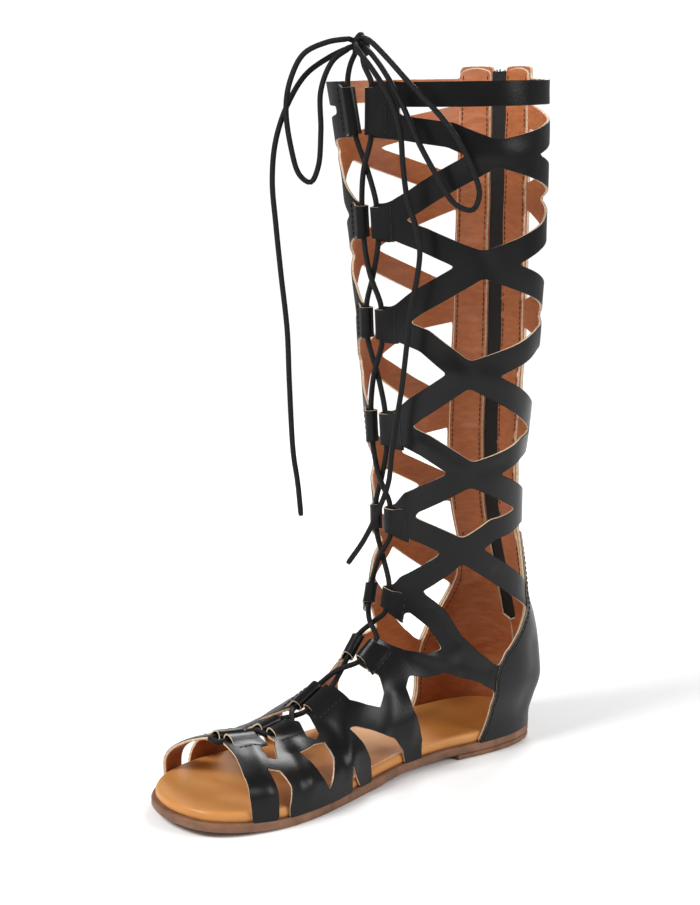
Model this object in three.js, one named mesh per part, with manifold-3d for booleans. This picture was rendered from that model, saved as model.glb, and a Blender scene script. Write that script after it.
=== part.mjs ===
// Knee-high gladiator sandal, right foot: a cage of leather straps on a flat
// sole, laced up the front and zipped up the back.
// Millimetres. +X to the toe, +Y to the medial side, +Z up. The origin is the
// centre of the heel's resting face.
import * as THREE from 'three';
import { mergeVertices } from 'three/addons/utils/BufferGeometryUtils.js';
import Module from 'manifold-3d';

const wasm = await Module();
wasm.setup();

// ---------------------------------------------------------------- sizes
const GAP = 0.3;              // between pieces that meet
const SOLE_THICKNESS = 5;     // outsole sheet
const HEEL_BREAST = 36;       // x of the heel block's front
const INSOLE_THICKNESS = 5.5;
const INSOLE_INSET = 2.9;     // insole edge inside the outsole edge
const FEATHER_INSET = 1.1;    // strap's middle inside the outsole edge
const FEATHER_LIFT = 1.1;     // strap's foot above the outsole
const WALL = 1.8;             // strap and lining together
const STRAP = 12.5;           // width of a strap
const STRAP_FILLET = 2.5;     // rounding where two straps cross
const FACING_NEAR = 6;        // zip facing: from this far off the back line
const FACING_FAR = 29;        //   to this far
const TAPE_HALF = 5.5;        // half width of the zip tape in the gap
const TUNNEL_RADIUS = 3.4;    // lace tunnel, outside
const TUNNEL_INDENT = 1.6;    // tunnel's mouths inside the tab's ends
const TUNNEL_BORE = 2.75;     // lace tunnel, inside
const LACE_RADIUS = 1.5;
const CORD_STEP = 8.5;
const EDGE_HALVINGS = 4;      // how finely the cut finds a strap's edge
const ROW_STEP = 10;          // mesh size along the form
const COLUMNS = 18;           // mesh columns on each side

// Outsole outline: x, and the half widths to each side.
const OUTLINE = [
  { x: -36, medial: 0, lateral: 0 },
  { x: -33, medial: 11.5, lateral: 11.5 },
  { x: -24, medial: 23.5, lateral: 24 },
  { x: -8, medial: 31, lateral: 31.5 },
  { x: 15, medial: 32.5, lateral: 33.5 },
  { x: 45, medial: 29.5, lateral: 36.5 },
  { x: 75, medial: 30.5, lateral: 42 },
  { x: 105, medial: 36.5, lateral: 45 },
  { x: 130, medial: 43.5, lateral: 48 },
  { x: 150, medial: 48, lateral: 50 },
  { x: 170, medial: 49.5, lateral: 48 },
  { x: 190, medial: 46.5, lateral: 40 },
  { x: 205, medial: 40.5, lateral: 28 },
  { x: 215, medial: 31, lateral: 14 },
];
const TOE_TIP = { x: 220, y: 9 };

// Top face of the outsole, from heel to toe.
const SOLE_TOP = [
  { x: -36, z: 8.2 }, { x: 20, z: 8 }, { x: 45, z: 8 }, { x: 75, z: 7.6 },
  { x: 105, z: 5.8 }, { x: 135, z: 5 }, { x: 170, z: 5.2 }, { x: 195, z: 6.8 },
  { x: 220, z: 9.4 },
];

// Sections of the foot and leg form, from the toe strap to the top. Each lies
// in the plane through its front point and its back point, square to the XZ
// plane. medial and lateral are its half widths, widest is where it is widest
// as a share of the way back, crown and base are the roundness exponents.
const SECTIONS = [
  { frontX: 200, frontZ: 36.5, backX: 200, backZ: 0, medial: 44, lateral: 34, widest: 0.85, crown: 2, base: 3 },
  { frontX: 181, frontZ: 38.5, backX: 181, backZ: 0, medial: 48, lateral: 44, widest: 0.85, crown: 2, base: 3 },
  { frontX: 163, frontZ: 36, backX: 163, backZ: 0, medial: 49, lateral: 49, widest: 0.85, crown: 2, base: 3 },
  { frontX: 146, frontZ: 35.5, backX: 146, backZ: 0, medial: 47, lateral: 50, widest: 0.85, crown: 2, base: 3 },
  { frontX: 129, frontZ: 41.5, backX: 129, backZ: -1, medial: 43, lateral: 48, widest: 0.82, crown: 2, base: 3 },
  { frontX: 113, frontZ: 50.5, backX: 110, backZ: -3, medial: 40, lateral: 46, widest: 0.8, crown: 2, base: 3 },
  { frontX: 97, frontZ: 59.5, backX: 88, backZ: -6, medial: 36, lateral: 43, widest: 0.76, crown: 2, base: 3 },
  { frontX: 84, frontZ: 67.5, backX: 62, backZ: -8, medial: 35, lateral: 42, widest: 0.72, crown: 2, base: 3 },
  { frontX: 77, frontZ: 78, backX: 30, backZ: -12, medial: 34, lateral: 38, widest: 0.68, crown: 2.1, base: 3 },
  { frontX: 72, frontZ: 90, backX: 0, backZ: -14, medial: 34, lateral: 36, widest: 0.62, crown: 2.1, base: 2.8 },
  { frontX: 69, frontZ: 104, backX: -27, backZ: -10, medial: 35, lateral: 34, widest: 0.58, crown: 2.1, base: 2.6 },
  { frontX: 67, frontZ: 119, backX: -38, backZ: 20, medial: 37, lateral: 33, widest: 0.56, crown: 2.1, base: 2.4 },
  { frontX: 66, frontZ: 134, backX: -35, backZ: 56, medial: 40, lateral: 31, widest: 0.53, crown: 2, base: 2.2 },
  { frontX: 66, frontZ: 151, backX: -27, backZ: 93, medial: 44, lateral: 30, widest: 0.5, crown: 2, base: 2 },
  { frontX: 67, frontZ: 170, backX: -19, backZ: 130, medial: 50, lateral: 31, widest: 0.5, crown: 2, base: 2 },
  { frontX: 68, frontZ: 192, backX: -17, backZ: 165, medial: 56, lateral: 34, widest: 0.5, crown: 2, base: 2 },
  { frontX: 69, frontZ: 216, backX: -18, backZ: 200, medial: 62, lateral: 38, widest: 0.5, crown: 2, base: 2 },
  { frontX: 70, frontZ: 246, backX: -20, backZ: 238, medial: 68, lateral: 43, widest: 0.5, crown: 2, base: 2 },
  { frontX: 71, frontZ: 280, backX: -21, backZ: 278, medial: 72, lateral: 48, widest: 0.5, crown: 2, base: 2 },
  { frontX: 73, frontZ: 320, backX: -22, backZ: 320, medial: 74, lateral: 54, widest: 0.5, crown: 2, base: 2 },
  { frontX: 76, frontZ: 352, backX: -23, backZ: 352, medial: 75, lateral: 60, widest: 0.5, crown: 2, base: 2 },
  { frontX: 79, frontZ: 386, backX: -24, backZ: 386, medial: 75, lateral: 67, widest: 0.5, crown: 2, base: 2 },
  { frontX: 80, frontZ: 402, backX: -25, backZ: 402, medial: 75, lateral: 69, widest: 0.5, crown: 2, base: 2 },
];

// The cage, cut alike on both sides. A place on the form is [row, turn]: row
// counts the sections above, turn is the share of the way round from the lace
// line (0) to the back line (1).
const STRAPS = [
  { width: STRAP, path: [[20.68, 0.04], [20.68, 0.85]] },
  { width: STRAP, path: [[20.25, 0.08], [20.1, 0.29], [19.8, 0.41], [19.3, 0.66], [18.95, 0.86]] },
  { width: STRAP, path: [[18.7, 0.05], [19.0, 0.17], [19.8, 0.41], [20.1, 0.66], [20.3, 0.86]] },
  { width: STRAP, path: [[18.7, 0.05], [18.5, 0.2], [18.2, 0.37], [17.7, 0.66], [17.35, 0.86]] },
  { width: STRAP, path: [[17.2, 0.07], [17.6, 0.17], [18.2, 0.37], [18.6, 0.63], [18.95, 0.86]] },
  { width: STRAP, path: [[17.2, 0.07], [17.0, 0.2], [16.5, 0.34], [16.0, 0.59], [15.6, 0.84]] },
  { width: STRAP, path: [[15.1, 0.07], [15.7, 0.17], [16.5, 0.34], [17.1, 0.6], [17.35, 0.86]] },
  { width: STRAP, path: [[15.1, 0.08], [14.9, 0.21], [14.5, 0.37], [14.35, 0.68], [14.3, 0.82]] },
  { width: STRAP, path: [[12.6, 0.07], [13.3, 0.14], [14.5, 0.37], [15.3, 0.6], [15.7, 0.84]] },
  { width: STRAP, path: [[12.5, 0.07], [12.6, 0.33], [12.6, 0.6], [12.6, 0.8]] },
  { width: STRAP, path: [[12.6, 0.33], [13.5, 0.48], [14.1, 0.67], [14.3, 0.82]] },
  { width: STRAP, path: [[9.8, 0.07], [10.5, 0.11], [11.5, 0.2], [12.5, 0.31]] },
  { width: 13, path: [[9.8, 0.07], [10.2, 0.14], [10.25, 0.23], [10.0, 0.31], [10.1, 0.45], [10.4, 0.6]] },
  { width: 13, path: [[7.4, 0.1], [7.9, 0.19], [8.6, 0.26], [9.4, 0.31], [10.1, 0.45]] },
];

// Rows between which each lace tab stands, from the top down, and the share of
// the way round that its block reaches.
const TABS = [
  { from: 20.05, to: 20.85, reach: 0.14 },
  { from: 18.45, to: 18.95, reach: 0.09 },
  { from: 16.9, to: 17.5, reach: 0.1 },
  { from: 14.65, to: 15.55, reach: 0.1 },
  { from: 12.0, to: 13.0, reach: 0.1 },
  { from: 9.15, to: 10.15, reach: 0.11 },
  { from: 6.6, to: 7.9, reach: 0.2 },
  { from: 4.2, to: 5.3, reach: 0.2 },
  { from: 2.65, to: 3.6, reach: 0.2 },
  { from: 1.05, to: 2.15, reach: 0.2 },
];
// How far the lace tabs' folded edge is from the lace line, by row.
const THROAT = [
  { row: 0, reach: 1.8 }, { row: 6.6, reach: 1.8 }, { row: 7.9, reach: 4.6 },
  { row: 10.3, reach: 4.2 }, { row: 12, reach: 3 }, { row: 20, reach: 2.8 },
  { row: 20.85, reach: 6.8 }, { row: 22, reach: 10 },
];

// The foot's leather and what is cut out of it: notches between the lace tabs,
// two windows, and three slots that are open at the sole.
const VAMP = [
  [1.0, 0.0], [0.8, 0.2], [0.6, 0.32], [0.5, 0.43], [0.55, 0.6], [0.6, 0.97],
  [7.1, 0.97], [7.1, 0.66], [7.3, 0.55], [7.2, 0.38], [7.4, 0.28], [7.9, 0.24], [7.9, 0.0],
];
const CUTOUTS = [
  [[2.3, -0.05], [2.65, -0.05], [2.55, 0.12], [2.3, 0.17], [1.9, 0.27], [1.65, 0.25], [1.75, 0.17], [2.2, 0.08]],
  [[3.65, -0.05], [4.15, -0.05], [4.15, 0.08], [4.05, 0.13], [3.9, 0.22], [3.65, 0.24], [3.5, 0.19], [3.75, 0.08]],
  [[5.4, -0.05], [6.5, -0.05], [6.55, 0.09], [6.8, 0.17], [6.6, 0.25], [6.2, 0.3], [5.8, 0.25], [5.4, 0.18], [5.35, 0.09]],
  [[2.8, 0.26], [3.5, 0.25], [3.85, 0.27], [3.8, 0.37], [3.5, 0.46], [3.3, 0.5], [3.0, 0.41]],
  [[1.3, 0.31], [1.7, 0.33], [1.8, 0.42], [1.65, 0.51], [1.6, 0.97], [1.2, 0.97], [1.25, 0.47]],
  [[4.4, 0.42], [4.6, 0.5], [4.8, 0.58], [4.85, 0.97], [4.4, 0.97], [4.4, 0.58]],
  [[4.8, 0.29], [5.1, 0.3], [5.6, 0.36], [6.4, 0.47], [6.65, 0.56], [6.6, 0.97], [5.3, 0.97], [5.3, 0.49], [5.1, 0.39]],
];
// The heel counter's front edge, from the zip facing down to the sole.
const COUNTER = [
  [13.8, 1.03], [13.8, 0.8], [12.6, 0.74], [12.0, 0.67], [11.4, 0.6], [10.9, 0.56], [10.3, 0.54],
  [9.7, 0.56], [9.3, 0.6], [8.6, 0.66], [8.2, 0.75], [8.0, 1.03],
];
const ZIP_FOOT_ROW = 12.25;   // lower end of the zip's gap
const ZIP_TOP_ROW = 21.0;
const FACING_TOP_ROW = 21.15; // square tabs above the top strap
const FACING_FOOT_ROW = 12.05;

// ---------------------------------------------------------------- helpers
const clamp = (value, low, high) => Math.min(high, Math.max(low, value));
const lerp = (a, b, t) => a + (b - a) * t;
function smoothstep(low, high, value) {
  const t = clamp((value - low) / (high - low), 0, 1);
  return t * t * (3 - 2 * t);
}
function tableAt(table, key, at, column) {
  let i = table.findIndex((entry) => entry[key] > at);
  if (i === 0) return table[0][column];
  if (i < 0) return table[table.length - 1][column];
  const a = table[i - 1];
  const b = table[i];
  return lerp(a[column], b[column], (at - a[key]) / (b[key] - a[key]));
}

function solidOf(geometry) {
  const bare = geometry.index ? geometry.toNonIndexed() : geometry.clone();
  bare.deleteAttribute('normal');
  bare.deleteAttribute('uv');
  const merged = mergeVertices(bare, 1e-4);
  return new wasm.Manifold(new wasm.Mesh({
    numProp: 3,
    vertProperties: new Float32Array(merged.attributes.position.array),
    triVerts: new Uint32Array(merged.index.array),
  }));
}
function geometryOf(solid) {
  const mesh = solid.getMesh();
  const geometry = new THREE.BufferGeometry();
  geometry.setAttribute('position', new THREE.BufferAttribute(new Float32Array(mesh.vertProperties), 3));
  geometry.setIndex(new THREE.BufferAttribute(new Uint32Array(mesh.triVerts), 1));
  return geometry;
}

// ---------------------------------------------------------------- the form
const outlinePoints = [
  ...OUTLINE.map((at) => new THREE.Vector2(at.x, at.medial)),
  new THREE.Vector2(TOE_TIP.x, TOE_TIP.y),
  ...OUTLINE.slice(1).reverse().map((at) => new THREE.Vector2(at.x, -at.lateral)),
];
const outlineCurve = new THREE.CatmullRomCurve3(
  outlinePoints.map((p) => new THREE.Vector3(p.x, p.y, 0)), true, 'centripetal');
const outlineFine = outlineCurve.getPoints(400);

// Half width of the outline at x, on the side +1 medial or -1 lateral.
function halfWidth(x, side) {
  let best = 0;
  for (let i = 1; i < outlineFine.length; i++) {
    const a = outlineFine[i - 1];
    const b = outlineFine[i];
    if ((a.x - x) * (b.x - x) > 0 || a.x === b.x) continue;
    const y = lerp(a.y, b.y, (x - a.x) / (b.x - a.x));
    best = Math.max(best, side * y);
  }
  return best;
}
const widthTable = new Map();
function featherWidth(x, side) {
  const middle = (OUTLINE[0].x + TOE_TIP.x) / 2;
  const reach = middle - OUTLINE[0].x;
  const stretched = clamp(x + FEATHER_INSET * (x - middle) / reach, OUTLINE[0].x, TOE_TIP.x);
  const key = side * Math.round((stretched + 100) * 4);
  if (!widthTable.has(key)) widthTable.set(key, halfWidth(Math.round(stretched * 4) / 4, side));
  const width = widthTable.get(key);
  return Math.max(0, width - FEATHER_INSET * Math.min(1, width / 12));
}
const soleTop = (x) => tableAt(SOLE_TOP, 'x', x, 'z');

const SECTION_KEYS = Object.keys(SECTIONS[0]);
function sectionAt(row) {
  const last = SECTIONS.length - 1;
  const at = clamp(row, 0, last - 1e-9);
  const i = Math.floor(at);
  const t = at - i;
  const [a, b, c, d] = [i - 1, i, i + 1, i + 2].map((k) => SECTIONS[clamp(k, 0, last)]);
  const section = {};
  for (const key of SECTION_KEYS) {
    section[key] = 0.5 * (2 * b[key] + (c[key] - a[key]) * t
      + (2 * a[key] - 5 * b[key] + 4 * c[key] - d[key]) * t * t
      + (3 * b[key] - a[key] - 3 * c[key] + d[key]) * t * t * t);
  }
  return section;
}

// One half of a section as an even polyline, from the lace line to the back.
const halfCache = new Map();
function halfSection(row, side) {
  const key = `${row.toFixed(3)}:${side}`;
  if (halfCache.has(key)) return halfCache.get(key);
  const s = sectionAt(row);
  const wide = side > 0 ? s.medial : s.lateral;
  const crown = side > 0 ? s.crown : s.crown - 0.45 * (1 - smoothstep(40, 110, s.frontZ));
  const points = [];
  const STEPS = 72;
  for (let i = 0; i <= 2 * STEPS; i++) {
    const angle = (Math.PI / 2) * (i <= STEPS ? i / STEPS : (i - STEPS) / STEPS);
    const sine = Math.max(0, Math.sin(angle));
    const cosine = Math.max(0, Math.cos(angle));
    const along = i <= STEPS
      ? s.widest * (1 - cosine ** (2 / crown))
      : s.widest + (1 - s.widest) * sine ** (2 / s.base);
    const out = i <= STEPS ? sine ** (2 / crown) : cosine ** (2 / s.base);
    const x = lerp(s.frontX, s.backX, along);
    const z = lerp(s.frontZ, s.backZ, along);
    // near the sole the form stands on the outline
    const grip = 1 - smoothstep(6, 32, z - soleTop(x));
    const y = side * (lerp(wide * out, featherWidth(x, side) * clamp(out * 4, 0, 1), grip));
    points.push(new THREE.Vector3(x, y, z));
  }
  const lengths = [0];
  for (let i = 1; i < points.length; i++) lengths.push(lengths[i - 1] + points[i].distanceTo(points[i - 1]));
  const half = { points, lengths, total: lengths[lengths.length - 1] };
  halfCache.set(key, half);
  return half;
}
function formPoint(row, turn, side) {
  const half = halfSection(row, side);
  const want = clamp(turn, 0, 1) * half.total;
  let low = 0;
  let high = half.lengths.length - 1;
  while (high - low > 1) {
    const middle = (low + high) >> 1;
    if (half.lengths[middle] > want) high = middle; else low = middle;
  }
  const share = (want - half.lengths[low]) / (half.lengths[high] - half.lengths[low] || 1);
  return half.points[low].clone().lerp(half.points[high], share);
}
function formNormal(row, turn, side) {
  const e = 0.01;
  const alongRow = formPoint(row + 0.05, turn, side).sub(formPoint(Math.max(0, row - 0.05), turn, side));
  const alongTurn = formPoint(row, Math.min(1, turn + e), side).sub(formPoint(row, Math.max(0, turn - e), side));
  return alongTurn.cross(alongRow).multiplyScalar(side).normalize();
}

// ---------------------------------------------------------------- the cut
// Signed distance to the cage in millimetres, negative on the leather.
const densePath = (path, steps, side) => {
  const points = [];
  for (let i = 0; i + 1 < path.length; i++) {
    for (let k = 0; k < steps; k++) {
      const t = k / steps;
      points.push(formPoint(lerp(path[i][0], path[i + 1][0], t), lerp(path[i][1], path[i + 1][1], t), side));
    }
  }
  points.push(formPoint(...path[path.length - 1], side));
  return points.filter((p, i) => i === 0 || p.distanceTo(points[i - 1]) > 1e-6);
};
const scratch = new THREE.Vector3();
const segment = new THREE.Line3();
function distanceTo(points, p) {
  let best = Infinity;
  for (let i = 1; i < points.length; i++) {
    segment.set(points[i - 1], points[i]);
    segment.closestPointToPoint(p, true, scratch);
    best = Math.min(best, scratch.distanceToSquared(p));
  }
  return Math.sqrt(best);
}
function insidePolygon(polygon, row, turn) {
  let inside = false;
  for (let i = 0, j = polygon.length - 1; i < polygon.length; j = i++) {
    const [ra, ta] = polygon[i];
    const [rb, tb] = polygon[j];
    if ((ta > turn) !== (tb > turn) && row < ((rb - ra) * (turn - ta)) / (tb - ta) + ra) inside = !inside;
  }
  return inside;
}
// A path or an outline on the form, with the sphere that bounds it.
const FAR = 25;
function charted(shape, points) {
  const sphere = new THREE.Box3().setFromPoints(points).getBoundingSphere(new THREE.Sphere());
  return { ...shape, points, sphere };
}
const isFar = ({ sphere }, p) => sphere.distanceToPoint(p) > FAR;
const smoothMin = (a, b, radius) => {
  const h = clamp(0.5 + (0.5 * (b - a)) / radius, 0, 1);
  return lerp(b, a, h) - radius * h * (1 - h);
};
const tabBlock = ({ from, to, reach }) => [[from, -0.03], [to, -0.03], [to, reach], [from, reach]];

const cut = new Map([1, -1].map((side) => {
  const area = (polygon) => charted({ polygon }, densePath([...polygon, polygon[0]], 6, side));
  return [side, {
    straps: STRAPS.map(({ width, path }) => charted({ width }, densePath(path, 8, side))),
    areas: [VAMP, COUNTER, ...TABS.map(tabBlock)].map(area),
    holes: CUTOUTS.map(area),
  }];
}));
const strapField = (strap, p) => (isFar(strap, p) ? FAR : distanceTo(strap.points, p) - strap.width / 2);
const areaField = (area, p, row, turn) => (isFar(area, p)
  ? FAR : (insidePolygon(area.polygon, row, turn) ? -1 : 1) * distanceTo(area.points, p));

// Arc from the lace line to the axis of the lace tunnels.
const throatArc = (row) => tableAt(THROAT, 'row', row, 'reach') + TUNNEL_RADIUS;

function facingField(row, turn, side, p) {
  const arc = (1 - turn) * halfSection(row, side).total;
  const middle = (FACING_NEAR + FACING_FAR) / 2;
  const across = Math.abs(arc - middle) - (FACING_FAR - FACING_NEAR) / 2;
  const top = formPoint(FACING_TOP_ROW, 1, side).z - 0.00004 * (arc - middle) ** 4;
  const bottom = (FACING_FOOT_ROW - row) * 30;
  return Math.max(across, p.z - top, bottom);
}
function cageField(row, turn, side, p) {
  const { straps, areas, holes } = cut.get(side);
  let field = FAR;
  for (const strap of straps) field = smoothMin(field, strapField(strap, p), STRAP_FILLET);
  for (const area of areas) field = smoothMin(field, areaField(area, p, row, turn), STRAP_FILLET);
  if (row < 8.2) for (const hole of holes) field = Math.max(field, -areaField(hole, p, row, turn));
  const arc = (1 - turn) * halfSection(row, side).total;
  // straps stop at the facing, and the zip's gap is open above the zip's foot
  if (row > FACING_FOOT_ROW) field = Math.max(field, FACING_NEAR - arc);
  else field = Math.max(field, Math.min(FACING_NEAR - arc, (row - ZIP_FOOT_ROW) * 30));
  field = Math.min(field, facingField(row, turn, side, p));
  const fromLace = turn * halfSection(row, side).total;
  field = Math.max(field, throatArc(row) + TUNNEL_RADIUS - 1 - fromLace);
  return Math.max(field, soleTop(p.x) + FEATHER_LIFT - p.z);
}

// Rows at an even step along the form.
function evenRows(from, to, step) {
  const fine = 400;
  const rows = [from];
  let walked = 0;
  for (let i = 1; i <= fine; i++) {
    const row = lerp(from, to, i / fine);
    const before = lerp(from, to, (i - 1) / fine);
    const front = formPoint(row, 0, 1).distanceTo(formPoint(before, 0, 1));
    const back = formPoint(row, 1, 1).distanceTo(formPoint(before, 1, 1));
    walked += lerp(front, back, 0.5);
    if (walked >= step) { rows.push(row); walked = 0; }
  }
  return rows;
}

// A shell between two offsets of the form, cut where the field is negative.
function shell({ rows, turns, field, inner, outer }) {
  const place = (row, turn, side) => {
    const p = formPoint(row, turn, side);
    return { row, turn, side, p, f: field(row, turn, side, p) };
  };
  const grid = rows.map((row) => turns.map(({ turn, side }) => place(row, turn, side)));
  const positions = [];
  const index = [];
  const ids = new Map();
  const vertex = (key, find) => {
    if (!ids.has(key)) {
      const { p, row, turn, side } = find();
      const n = formNormal(row, turn, side);
      for (const offset of [outer, inner]) {
        const q = p.clone().addScaledVector(n, offset);
        positions.push(q.x, q.y, q.z);
      }
      ids.set(key, positions.length / 3 - 2);
    }
    return ids.get(key);
  };
  const corner = (i, j) => vertex(`${i},${j}`, () => grid[i][j]);
  const crossing = (i, j, k, l) => {
    const first = i < k || (i === k && j < l);
    const [a, b, key] = first
      ? [grid[i][j], grid[k][l], `${i},${j}:${k},${l}`]
      : [grid[k][l], grid[i][j], `${k},${l}:${i},${j}`];
    return vertex(key, () => {
      // the two ends of an edge that meets the back line are on one side of it
      const side = a.turn < 1 ? a.side : b.side;
      let [low, high, found] = [0, 1, null];
      for (let k = 0; k < EDGE_HALVINGS; k++) {
        const t = (low + high) / 2;
        found = place(lerp(a.row, b.row, t), lerp(a.turn, b.turn, t), side);
        if ((found.f < 0) === (a.f < 0)) low = t; else high = t;
      }
      const t = clamp((low + high) / 2, 0.1, 0.9);
      return place(lerp(a.row, b.row, t), lerp(a.turn, b.turn, t), side);
    });
  };
  const face = (a, b, c) => index.push(a, b, c, c + 1, b + 1, a + 1);
  const wall = (a, b) => index.push(a, a + 1, b, b, a + 1, b + 1);
  for (let i = 0; i + 1 < rows.length; i++) {
    for (let j = 0; j + 1 < turns.length; j++) {
      const ring = [[i, j], [i, j + 1], [i + 1, j + 1], [i + 1, j]];
      const inside = ring.map(([r, c]) => grid[r][c].f < 0);
      const count = inside.filter(Boolean).length;
      if (!count) continue;
      // walk round the cell, collecting the leather's outline in it
      const loop = [];
      const marks = [];
      for (let k = 0; k < 4; k++) {
        const [here, next] = [ring[k], ring[(k + 1) % 4]];
        if (inside[k]) loop.push(corner(...here));
        if (inside[k] !== inside[(k + 1) % 4]) {
          loop.push(crossing(...here, ...next));
          marks.push({ id: loop[loop.length - 1], leaving: inside[k] });
        }
      }
      for (let k = 1; k + 1 < loop.length; k++) face(loop[0], loop[k], loop[k + 1]);
      marks.forEach(({ id, leaving }, k) => {
        if (leaving) wall(id, marks[(k + 1) % marks.length].id);
      });
    }
  }
  // close the edges of the grid itself
  const edge = (cells) => {
    for (let k = 0; k + 1 < cells.length; k++) {
      const [a, b] = [cells[k], cells[k + 1]];
      const fa = grid[a[0]][a[1]].f < 0;
      const fb = grid[b[0]][b[1]].f < 0;
      if (fa && fb) wall(corner(...a), corner(...b));
      else if (fa) wall(corner(...a), crossing(...a, ...b));
      else if (fb) wall(crossing(...a, ...b), corner(...b));
    }
  };
  const lastRow = rows.length - 1;
  const lastTurn = turns.length - 1;
  edge(turns.map((_, j) => [0, j]));
  edge(rows.map((_, i) => [i, lastTurn]));
  edge(turns.map((_, j) => [lastRow, lastTurn - j]));
  edge(rows.map((_, i) => [lastRow - i, 0]));
  const geometry = new THREE.BufferGeometry();
  geometry.setAttribute('position', new THREE.BufferAttribute(new Float32Array(positions), 3));
  geometry.setIndex(index);
  return geometry;
}

const ringTurns = [
  ...Array.from({ length: COLUMNS + 1 }, (_, j) => ({ turn: j / COLUMNS, side: 1 })),
  ...Array.from({ length: COLUMNS }, (_, j) => ({ turn: 1 - (j + 1) / COLUMNS, side: -1 })),
];

// ---------------------------------------------------------------- tubes
function polygonShape(sides, radius) {
  const points = [];
  for (let k = 0; k < sides; k++) {
    const angle = (2 * Math.PI * (k + 0.5)) / sides;
    points.push(new THREE.Vector2(radius * Math.cos(angle), radius * Math.sin(angle)));
  }
  return new THREE.Shape(points);
}
const curveThrough = (points) =>
  new THREE.CatmullRomCurve3(points.map((p) => (p.isVector3 ? p : new THREE.Vector3(...p))), false, 'centripetal');
const tube = (curve, radius, sides, steps) =>
  new THREE.ExtrudeGeometry(polygonShape(sides, radius), { steps, extrudePath: curve, bevelEnabled: false });

// ---------------------------------------------------------------- upper
function tunnelEnd(row, side, beyond) {
  const turn = throatArc(row) / halfSection(row, side).total;
  return formPoint(row, turn, side).addScaledVector(formNormal(row, turn, side), beyond);
}
function tunnel({ from, to }, side) {
  const low = tunnelEnd(from, side, 0);
  const high = tunnelEnd(to, side, 0);
  const along = high.clone().sub(low).normalize();
  low.addScaledVector(along, TUNNEL_INDENT);
  high.addScaledVector(along, -TUNNEL_INDENT);
  return { low, high, along };
}
function buildUpper() {
  // two rows close together keep the foot of the zip's gap square
  const rows = [...evenRows(0.3, 21.7, ROW_STEP), ZIP_FOOT_ROW - 0.02, ZIP_FOOT_ROW + 0.02]
    .sort((a, b) => a - b);
  let upper = solidOf(shell({
    rows, turns: ringTurns, field: cageField, inner: -WALL / 2, outer: WALL / 2 }));
  const bores = [];
  for (const tab of TABS) {
    for (const side of [1, -1]) {
      const { low, high, along } = tunnel(tab, side);
      upper = upper.add(solidOf(tube(new THREE.LineCurve3(low, high), TUNNEL_RADIUS, 8, 1)));
      bores.push(solidOf(tube(new THREE.LineCurve3(
        low.clone().addScaledVector(along, -3), high.clone().addScaledVector(along, 3)), TUNNEL_BORE, 8, 1)));
    }
  }
  for (const bore of bores) upper = upper.subtract(bore);
  return geometryOf(upper);
}

// ---------------------------------------------------------------- sole
function insetOutline(inset) {
  const points = outlineFine.slice(0, -1).filter((_, i) => i % 6 === 0);
  return points.map((p, i) => {
    const next = points[(i + 1) % points.length];
    const before = points[(i + points.length - 1) % points.length];
    const out = new THREE.Vector2(next.y - before.y, before.x - next.x).normalize();
    return new THREE.Vector2(p.x + out.x * inset, p.y + out.y * inset);
  });
}
// A slab: the outline, between two height profiles of [x, z] points.
function slab(outline, top, bottom) {
  const side = new THREE.Shape([...bottom, ...top.slice().reverse()].map(([x, z]) => new THREE.Vector2(x, z)));
  const profile = new THREE.ExtrudeGeometry(side, { depth: 140, bevelEnabled: false });
  profile.rotateX(Math.PI / 2);
  profile.translate(0, 70, 0);
  const plan = new THREE.ExtrudeGeometry(new THREE.Shape(outline), { depth: 60, bevelEnabled: false });
  plan.translate(0, 0, -20);
  return geometryOf(solidOf(plan).intersect(solidOf(profile)));
}
const topProfile = (lift) => SOLE_TOP.map(({ x, z }) => [x + (x < 0 ? -4 : x > 200 ? 4 : 0), z + lift]);
function buildOutsole() {
  const bottom = [
    [-40, 0], [HEEL_BREAST - 2, 0], [HEEL_BREAST, soleTop(HEEL_BREAST) - SOLE_THICKNESS],
    ...SOLE_TOP.filter(({ x }) => x > HEEL_BREAST && x < 95).map(({ x, z }) => [x, z - SOLE_THICKNESS]),
    [100, 0], [172, 0],
    ...SOLE_TOP.filter(({ x }) => x > 172).map(({ x, z }) => [x + (x > 200 ? 4 : 0), z - SOLE_THICKNESS]),
  ];
  return slab(insetOutline(0), topProfile(0), bottom);
}
const buildInsole = () => slab(insetOutline(INSOLE_INSET),
  topProfile(GAP + INSOLE_THICKNESS), topProfile(GAP));

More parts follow.
